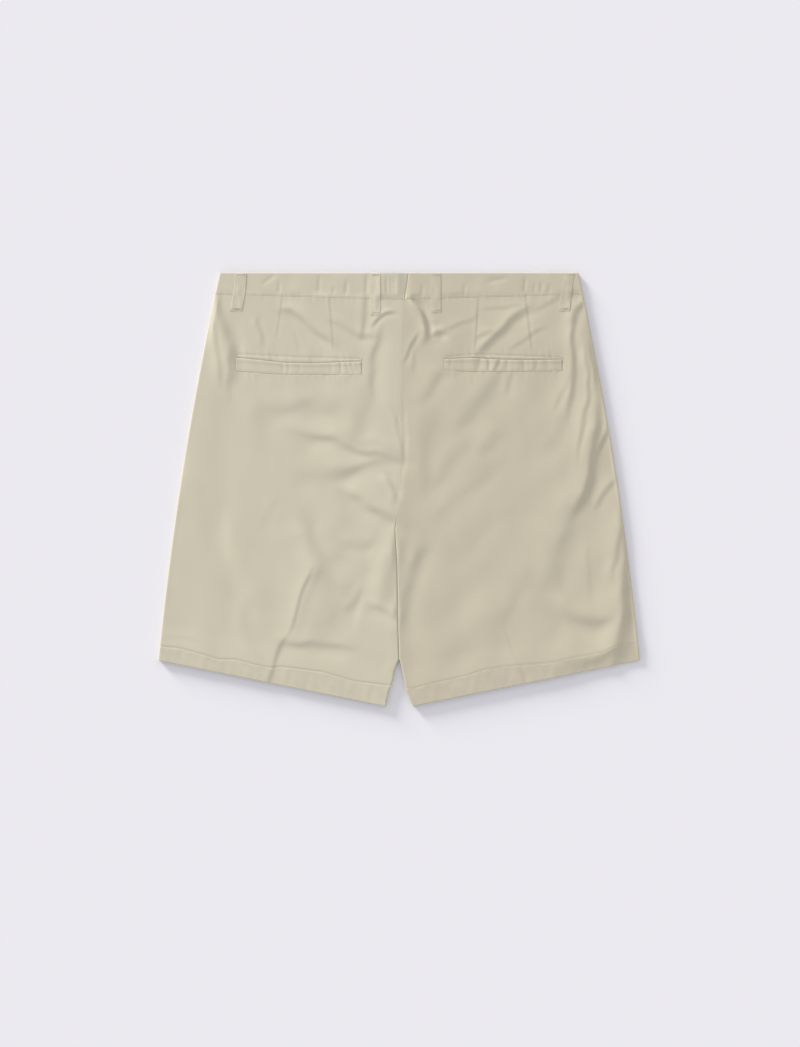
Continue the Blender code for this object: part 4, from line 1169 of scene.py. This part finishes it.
def stitch_tree():
    """Geometry nodes that lay one thread stitch after another along lines."""
    tree = bpy.data.node_groups.new("Stitches", "GeometryNodeTree")
    face = tree.interface
    face.new_socket(name="Geometry", in_out="INPUT", socket_type="NodeSocketGeometry")
    for name, kind in (
        ("Pitch", "NodeSocketFloat"), ("Length", "NodeSocketFloat"), ("Thickness", "NodeSocketFloat"),
        ("Unevenness", "NodeSocketFloat"), ("Seed", "NodeSocketInt"), ("Thread", "NodeSocketMaterial"),
    ):
        face.new_socket(name=name, in_out="INPUT", socket_type=kind)
    face.new_socket(name="Geometry", in_out="OUTPUT", socket_type="NodeSocketGeometry")
    given = tree.nodes.new("NodeGroupInput").outputs
    lines = add_node(tree, "GeometryNodeMeshToCurve", Mesh=given["Geometry"])
    points = add_node(
        tree, "GeometryNodeCurveToPoints", {"mode": "LENGTH"},
        Curve=lines.outputs["Curve"], Length=given["Pitch"],
    )
    ball = add_node(tree, "GeometryNodeMeshUVSphere", Segments=8, Rings=5, Radius=0.5)
    size = add_node(
        tree, "ShaderNodeCombineXYZ", X=given["Length"], Y=given["Thickness"], Z=given["Thickness"],
    )
    stitch = add_node(
        tree, "GeometryNodeTransform", Geometry=ball.outputs["Mesh"], Scale=size.outputs["Vector"],
    )
    turned = add_node(
        tree, "FunctionNodeAlignRotationToVector", {"axis": "X"}, Vector=points.outputs["Tangent"],
    )
    least = add_node(tree, "ShaderNodeMath", {"operation": "MULTIPLY"}, i0=given["Unevenness"], i1=-1.0)
    sway = add_node(
        tree, "FunctionNodeRandomValue", {"data_type": "FLOAT"},
        i2=least.outputs["Value"], i3=given["Unevenness"], Seed=given["Seed"],
    )
    swing = add_node(tree, "ShaderNodeCombineXYZ", Z=sway.outputs[1])
    swung = add_node(
        tree, "FunctionNodeRotateRotation", {"rotation_space": "LOCAL"},
        i0=turned.outputs["Rotation"], i1=swing.outputs["Vector"],
    )
    laid = add_node(
        tree, "GeometryNodeInstanceOnPoints", Points=points.outputs["Points"],
        Instance=stitch.outputs["Geometry"], Rotation=swung.outputs["Rotation"],
    )
    real = add_node(tree, "GeometryNodeRealizeInstances", Geometry=laid.outputs["Instances"])
    soft = add_node(tree, "GeometryNodeSetShadeSmooth", Geometry=real.outputs["Geometry"])
    done = add_node(
        tree, "GeometryNodeSetMaterial", Geometry=soft.outputs["Geometry"], Material=given["Thread"],
    )
    output = tree.nodes.new("NodeGroupOutput")
    tree.links.new(done.outputs["Geometry"], output.inputs["Geometry"])
    return tree


def plain_mesh(piece):
    """The mesh of a piece with its modifiers applied."""
    return bpy.data.meshes.new_from_object(piece.evaluated_get(bpy.context.evaluated_depsgraph_get()))


def sew(name, paths, inputs):
    """Stitches along paths of points, as one plain mesh."""
    points, edges = [], []
    for path in paths:
        first = len(points)
        points += [tuple(point) for point in path]
        edges += [(number, number + 1) for number in range(first, len(points) - 1)]
    data = bpy.data.meshes.new(f"{name} lines")
    data.from_pydata(points, edges, [])
    guide = bpy.data.objects.new(f"{name} lines", data)
    bpy.context.scene.collection.objects.link(guide)
    tree = bpy.data.node_groups.get("Stitches") or stitch_tree()
    modifier = guide.modifiers.new("Stitches", "NODES")
    modifier.node_group = tree
    for item in tree.interface.items_tree:
        if item.name in inputs:
            modifier[item.identifier] = inputs[item.name]
    made = plain_mesh(guide)
    bpy.data.objects.remove(guide)
    made.name = name
    piece = placed(name, made, material_named("sewing thread", thread_material))
    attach(piece, "root")


# Rows of stitches: where a row starts and ends, in millimetres, and its points on the cloth
Row = namedtuple("Row", "start end points")
BAND_STITCHES = {-1: Row(4.0, -222.5, 160), 1: Row(9.5, 222.5, 160)}
FELL_STITCHES = Row(226.2, FELL_END_Y / MM, 90)
HEM_STITCHES = {-1: Row(-12.5, -284.0, 220), 1: Row(12.5, 284.0, 220)}
FRAME_POINTS = 120
FRAME_END_POINTS = 16
FRAME_FOOT_RISE = 1.2 * MM
FRAME_TOP_LIFT = 0.1 * MM
THREAD_RISE = 0.08 * MM
# Belt loops: rows and columns of their grid, from each rim, that carry stitches and tacks
LOOP_STITCH_COLUMN = 3
LOOP_STITCH_END = 2
LOOP_TACK_ROWS = (3, -6)
TACK_TURNS = 15
TACK_SWING = 0.6 * MM
TACK_RISE = 0.15 * MM


def places_of(row):
    """The places of a row's points."""
    return np.linspace(row.start, row.end, row.points) * MM


def path_on(x, y, height, rise=THREAD_RISE):
    """A path of points that lies on a surface."""
    x, y = np.broadcast_arrays(x, y)
    return np.stack((x, y, height(x, y) + rise), axis=1)


def band_paths():
    """The row of stitches that holds the waistband's foot, in two halves."""
    places = [places_of(row) for row in BAND_STITCHES.values()]
    return [path_on(x, waist_seam(x) + BAND_ROW_RISE, band_height) for x in places]


def fell_paths():
    """The two rows of stitches along the centre back seam."""
    y = places_of(FELL_STITCHES)
    return [path_on(inner_edge(-1, y) - row, y, partial(upper_side, -1)) for row in FELL_ROWS]


def hem_paths():
    """The rows of stitches that hold the two hems."""
    paths = []
    for side, row in HEM_STITCHES.items():
        x = places_of(row)
        paths.append(path_on(x, hem_line(x), partial(upper_side, side)))
    return paths


def frame_paths():
    """The stitched frames of the two pockets."""
    paths = []
    for pocket in POCKETS:
        inner, outer = pocket.inner_x * MM, pocket.outer_x * MM
        x = np.linspace(inner, outer, FRAME_POINTS)
        top, foot = at_x(pocket.top, x), at_x(pocket.foot, x)
        height, rise = partial(upper_side, pocket.side), THREAD_RISE + FRAME_TOP_LIFT
        paths.append(path_on(x, top, height, rise))
        on_welt = form(pocket.side, x, foot) - RECESS_FOOT + WELT_AIR + WELT_CLOTH
        paths.append(np.stack((x, foot + FRAME_FOOT_RISE, on_welt), axis=1))
        for end, place in ((inner, 0), (outer, -1)):
            y = np.linspace(top[place], foot[place] + FRAME_FOOT_RISE, FRAME_END_POINTS)
            paths.append(path_on(end, y, height, rise))
    return paths


def loop_paths(grid):
    """Stitches along both edges of a belt loop."""
    points = grid[0][LOOP_STITCH_END:-LOOP_STITCH_END]
    return [points[:, LOOP_STITCH_COLUMN], points[:, -1 - LOOP_STITCH_COLUMN]]


def tack_paths(grid):
    """Close zigzags across the two ends of a belt loop."""
    paths = []
    for row in LOOP_TACK_ROWS:
        left, right = grid[0][row, LOOP_STITCH_COLUMN], grid[0][row, -1 - LOOP_STITCH_COLUMN]
        path = mix(left, right, np.linspace(0.0, 1.0, TACK_TURNS)[:, None])
        path[:, 1] += TACK_SWING * (-1.0) ** np.arange(TACK_TURNS)
        path[:, 2] += TACK_RISE
        paths.append(path)
    return paths


# The button is turned from this profile, in shares of its radius and height, from the middle
# of its dished face over the rim to the middle of its back
BUTTON_PROFILE = (
    (0.0, 0.62), (0.55, 0.62), (0.68, 0.80), (0.78, 0.98), (0.90, 1.0), (0.97, 0.86),
    (1.0, 0.60), (1.0, 0.35), (0.95, 0.12), (0.86, 0.0), (0.0, 0.0),
)
BUTTON_STEPS = 64
BUTTON_HOLES = 4
HOLE_PLACE = 1.6 * MM
HOLE_RADIUS = 0.85 * MM
HOLE_STEPS = 20
SHARP_ANGLE = math.radians(35)
MERGE_DISTANCE = 0.01 * MM


def mesh_from(name, mesh):
    """Mesh data made from a bmesh, which is freed."""
    data = bpy.data.meshes.new(name)
    mesh.to_mesh(data)
    mesh.free()
    return data


def turned_button(middle):
    """The button's turned form, as one closed mesh round its middle."""
    mesh = bmesh.new()
    points = [
        mesh.verts.new((share * BUTTON_RADIUS, 0.0, z * BUTTON_HEIGHT)) for share, z in BUTTON_PROFILE
    ]
    edges = [mesh.edges.new(pair) for pair in zip(points[:-1], points[1:])]
    bmesh.ops.spin(
        mesh, geom=points + edges, axis=(0, 0, 1), cent=(0, 0, 0), angle=2 * math.pi, steps=BUTTON_STEPS,
    )
    bmesh.ops.remove_doubles(mesh, verts=mesh.verts, dist=MERGE_DISTANCE)
    bmesh.ops.recalc_face_normals(mesh, faces=mesh.faces)
    bmesh.ops.translate(mesh, verts=mesh.verts, vec=middle)
    return mesh_from("waist_button_turned", mesh)


def button_drills(middle):
    """Rods where the button's holes go, as one mesh."""
    mesh = bmesh.new()
    for number in range(BUTTON_HOLES):
        angle = math.radians(360 * (number + 0.5) / BUTTON_HOLES)
        place = middle + HOLE_PLACE * Vector((math.cos(angle), math.sin(angle), 0.0))
        bmesh.ops.create_cone(
            mesh, cap_ends=True, segments=HOLE_STEPS, radius1=HOLE_RADIUS, radius2=HOLE_RADIUS,
            depth=3 * BUTTON_HEIGHT, matrix=Matrix.Translation(place),
        )
    return mesh_from("holes", mesh)


def sewn_button():
    """A flat four-hole button with a turned rim, under the front of the waistband."""
    middle = Vector((BUTTON_X, (WAIST_EDGE_Y + float(waist_seam(BUTTON_X))) / 2, 0.0))
    button = turned_button(middle)
    piece = placed("waist_button_turned", button, material_named("horn button", horn_material))
    drills = bpy.data.objects.new("holes", button_drills(middle))
    bpy.context.scene.collection.objects.link(drills)
    modifier = piece.modifiers.new("holes", "BOOLEAN")
    modifier.operation = "DIFFERENCE"
    modifier.object = drills
    made = plain_mesh(piece)
    piece.modifiers.clear()
    piece.data = made
    bpy.data.objects.remove(drills)
    piece.data.set_sharp_from_angle(angle=SHARP_ANGLE)
    return piece


# Settings


class ShortsCloth(bpy.types.PropertyGroup):
    """Colours and weave of the shorts."""

    left_colour: bpy.props.StringProperty(
        name="Left cloth", description="sRGB hex colour of the left panels", default="C9C2AC",
    )
    # Painted shade: the right panels are coloured a shade darker than the left, for how light falls on
    # them
    right_shaded_colour: bpy.props.StringProperty(
        name="Right cloth", description="sRGB hex colour of the right panels", default="C3BBA5",
    )
    thread_colour: bpy.props.StringProperty(
        name="Thread", description="sRGB hex colour of the sewing thread", default="CFC6AF",
    )
    button_colour: bpy.props.StringProperty(
        name="Button", description="sRGB hex colour of the horn button's dark parts", default="3A2A1C",
    )
    twill_pitch: bpy.props.FloatProperty(
        name="Twill pitch", description="Distance from rib to rib of the twill", default=0.7 * MM,
        min=0.3 * MM, max=3 * MM, unit="LENGTH",
    )
    twill_angle: bpy.props.FloatProperty(
        name="Twill angle", description="Turn of the ribs from the legs, in degrees", default=35.0,
    )
    yarn_size: bpy.props.FloatProperty(
        name="Yarn size", description="Length of the yarn's thick and thin places", default=0.9 * MM,
        min=0.2 * MM, unit="LENGTH",
    )


class ShortsSewing(bpy.types.PropertyGroup):
    """Sizes of the stitches."""

    pitch: bpy.props.FloatProperty(
        name="Stitch pitch", description="Distance from stitch to stitch", default=2.9 * MM,
        unit="LENGTH",
    )
    length: bpy.props.FloatProperty(
        name="Stitch length", description="Length of thread that shows", default=1.7 * MM, unit="LENGTH",
    )
    thickness: bpy.props.FloatProperty(
        name="Thread", description="Thickness of the thread", default=0.5 * MM, unit="LENGTH",
    )
    unevenness: bpy.props.FloatProperty(
        name="Unevenness", description="Most that a stitch turns from its row", default=math.radians(7),
        subtype="ANGLE",
    )


class ShortsStage(bpy.types.PropertyGroup):
    """Floor, light and camera."""

    floor_colour: bpy.props.StringProperty(
        name="Floor", description="sRGB hex colour of the floor", default="E9E8EC",
    )
    key_strength: bpy.props.FloatProperty(
        name="Key light", description="Strength of the soft light from above the waistband",
        default=4.48,
    )
    key_elevation: bpy.props.FloatProperty(
        name="Key height", description="Height of the key light over the floor",
        default=math.radians(11), subtype="ANGLE",
    )
    key_heading: bpy.props.FloatProperty(
        name="Key heading", description="Turn of the key light from +Y towards -X",
        default=math.radians(42), subtype="ANGLE",
    )
    key_size: bpy.props.FloatProperty(
        name="Key size", description="Width of the key light as seen from the floor",
        default=math.radians(17), subtype="ANGLE",
    )
    fill_strength: bpy.props.FloatProperty(
        name="Fill light", description="Strength of the even light all round", default=0.78,
    )
    lens: bpy.props.FloatProperty(name="Lens", description="Focal length in millimetres", default=100.0)


# Operators


class SHORTS_OT_backs(bpy.types.Operator):
    """Lay the two backs, with their folds, darts, centre seam, pocket mouths and hems."""

    bl_idname = "shorts.backs"
    bl_label = "Backs"

    def execute(self, context):
        for side, word in SIDES:
            lay_cloth(f"back_{word}", side, back_grid(side), first_sewn=True)
        return {"FINISHED"}


class SHORTS_OT_fronts(bpy.types.Operator):
    """Lay the two fronts flat on the surface, under the backs."""

    bl_idname = "shorts.fronts"
    bl_label = "Fronts"

    def execute(self, context):
        for side, word in SIDES:
            lay_cloth(f"front_{word}", side, front_grid(side), first_sewn=True)
        return {"FINISHED"}


class SHORTS_OT_waistband(bpy.types.Operator):
    """Lay the two halves of the waistband, from the back seam round to the front closing."""

    bl_idname = "shorts.waistband"
    bl_label = "Waistband"

    def execute(self, context):
        for side, word in SIDES:
            grid = band_grid(side)
            lay_cloth(f"waistband_{word}", side, grid, first_sewn=True)
        return {"FINISHED"}


class SHORTS_OT_belt_loops(bpy.types.Operator):
    """Lay the belt loops over the waistband, with their edge stitches and end tacks."""

    bl_idname = "shorts.belt_loops"
    bl_label = "Belt loops"

    def execute(self, context):
        rows, tacks = [], []
        for loop in LOOPS:
            grid = loop_grid(loop)
            lay_cloth(f"belt_loop_{loop.name}", loop.side, grid)
            rows += loop_paths(grid)
            tacks += tack_paths(grid)
        inputs = stitch_inputs(context)
        sew("belt_loop_stitches", rows, inputs | {"Seed": 3})
        tack = {"Pitch": 0.85 * MM, "Length": 1.3 * MM, "Thickness": 0.45 * MM, "Seed": 4}
        sew("belt_loop_tacks", tacks, inputs | tack)
        return {"FINISHED"}


class SHORTS_OT_pockets(bpy.types.Operator):
    """Lay the welts that close the two back pockets, with their puckers."""

    bl_idname = "shorts.pockets"
    bl_label = "Back pockets"

    def execute(self, context):
        for side, word in SIDES:
            lay_cloth(f"pocket_welt_{word}", side, welt_grid(side))
        return {"FINISHED"}


def stitch_inputs(context):
    """Inputs of the stitch nodes for ordinary topstitching."""
    sewing = context.scene.shorts_sewing
    return {
        "Pitch": sewing.pitch, "Length": sewing.length, "Thickness": sewing.thickness,
        "Unevenness": sewing.unevenness, "Thread": material_named("sewing thread", thread_material),
    }


class SHORTS_OT_topstitching(bpy.types.Operator):
    """Sew the rows of stitches on the waistband, centre seam, pockets and hems."""

    bl_idname = "shorts.topstitching"
    bl_label = "Topstitching"

    def execute(self, context):
        inputs = stitch_inputs(context)
        sew("waistband_stitches", band_paths(), inputs | {"Seed": 5})
        sew("centre_seam_stitches", fell_paths(), inputs | {"Seed": 6})
        sew("hem_stitches", hem_paths(), inputs | {"Seed": 7})
        frame_stitch = {"Pitch": 2.6 * MM, "Length": 1.5 * MM, "Seed": 8}
        sew("pocket_stitches", frame_paths(), inputs | frame_stitch)
        return {"FINISHED"}


class SHORTS_OT_button(bpy.types.Operator):
    """Turn the button of the waistband's front closing."""

    bl_idname = "shorts.button"
    bl_label = "Button"

    def execute(self, context):
        piece = sewn_button()
        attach(piece, "root")
        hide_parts("waist_button")
        return {"FINISHED"}


# The frame's rows of pixels, and how much of the floor one pixel shows
FRAME_ROWS = 1047
PIXEL = 1.2 * MM
FRAME_CENTRE = (0.0012, -0.0408)
SENSOR_HEIGHT = 36.0
FLOOR_SIZE = 20.0


def lay_floor(stage):
    """A pale paper sweep just under the garment."""
    mesh = bmesh.new()
    bmesh.ops.create_grid(mesh, x_segments=1, y_segments=1, size=FLOOR_SIZE)
    bmesh.ops.translate(mesh, verts=mesh.verts, vec=(0.0, 0.0, -SEAM_GAP))
    material, tree, shader = new_material("paper sweep")
    place = add_node(tree, "ShaderNodeTexCoord")
    fibre = add_node(
        tree, "ShaderNodeTexNoise", Vector=place.outputs["Object"], Scale=40.0, Detail=3.0,
    )
    rough = add_node(tree, "ShaderNodeMapRange", Value=fibre.outputs["Fac"], To_Min=0.85, To_Max=0.95)
    tree.links.new(rough.outputs["Result"], shader.inputs["Roughness"])
    set_inputs(shader, Base_Color=linear(stage.floor_colour), Specular_IOR_Level=0.0)
    placed("floor", mesh_from("floor", mesh), material)


def hang_lights(scene, stage):
    """A large low light from above the waistband, and even light all round."""
    lamp = bpy.data.lights.new("key light", "SUN")
    lamp.energy = stage.key_strength
    lamp.angle = stage.key_size
    lamp.color = linear("FFFDF9")[:3]
    key = bpy.data.objects.new("key light", lamp)
    level = math.cos(stage.key_elevation)
    towards = Vector((
        -math.sin(stage.key_heading) * level,
        math.cos(stage.key_heading) * level,
        math.sin(stage.key_elevation),
    ))
    key.rotation_euler = towards.to_track_quat("Z", "Y").to_euler()
    key.location = towards * 2.0
    scene.collection.objects.link(key)
    scene.world = bpy.data.worlds.new("studio")
    scene.world.use_nodes = True
    background = scene.world.node_tree.nodes["Background"]
    set_inputs(background, Color=linear("FBFBFF"), Strength=stage.fill_strength)


def set_camera(scene, stage):
    """A camera straight above, as high as its lens needs for the frame."""
    lens = bpy.data.cameras.new("camera")
    lens.lens = stage.lens
    lens.sensor_fit = "VERTICAL"
    lens.sensor_height = SENSOR_HEIGHT
    camera = bpy.data.objects.new("camera", lens)
    camera.location = (*FRAME_CENTRE, FRAME_ROWS * PIXEL * stage.lens / SENSOR_HEIGHT)
    scene.collection.objects.link(camera)
    scene.camera = camera
    scene.view_settings.view_transform = "Standard"
    scene.view_settings.look = "None"


class SHORTS_OT_stage(bpy.types.Operator):
    """Set up the pale floor, the soft light and the camera straight above."""

    bl_idname = "shorts.stage"
    bl_label = "Stage"

    def execute(self, context):
        stage = context.scene.shorts_stage
        lay_floor(stage)
        hang_lights(context.scene, stage)
        set_camera(context.scene, stage)
        return {"FINISHED"}


OPERATORS = (
    SHORTS_OT_stage, SHORTS_OT_fronts, SHORTS_OT_backs, SHORTS_OT_waistband, SHORTS_OT_pockets,
    SHORTS_OT_belt_loops, SHORTS_OT_topstitching, SHORTS_OT_button,
)
SETTINGS = (
    (ShortsCloth, "shorts_cloth"), (ShortsSewing, "shorts_sewing"), (ShortsStage, "shorts_stage"),
)


class SHORTS_PT_panel(bpy.types.Panel):
    """The steps and settings of the shorts."""

    bl_idname = "SHORTS_PT_panel"
    bl_label = "Bermuda Shorts"
    bl_space_type = "VIEW_3D"
    bl_region_type = "UI"
    bl_category = "Shorts"

    def draw(self, context):
        for group, name in SETTINGS:
            box = self.layout.box()
            box.label(text=group.__doc__)
            settings = getattr(context.scene, name)
            for key in group.__annotations__:
                box.prop(settings, key)
        for operator in OPERATORS:
            self.layout.operator(operator.bl_idname)


def register():
    for group, name in SETTINGS:
        bpy.utils.register_class(group)
        setattr(bpy.types.Scene, name, bpy.props.PointerProperty(type=group))
    for item in OPERATORS + (SHORTS_PT_panel,):
        bpy.utils.register_class(item)


def unregister():
    for item in reversed(OPERATORS + (SHORTS_PT_panel,)):
        bpy.utils.unregister_class(item)
    for group, name in reversed(SETTINGS):
        delattr(bpy.types.Scene, name)
        bpy.utils.unregister_class(group)


def main():
    register()
    bpy.ops.shorts.stage()
    bpy.ops.shorts.fronts()
    bpy.ops.shorts.backs()
    bpy.ops.shorts.waistband()
    bpy.ops.shorts.pockets()
    bpy.ops.shorts.belt_loops()
    bpy.ops.shorts.topstitching()
    bpy.ops.shorts.button()


if __name__ == "__main__":
    main()
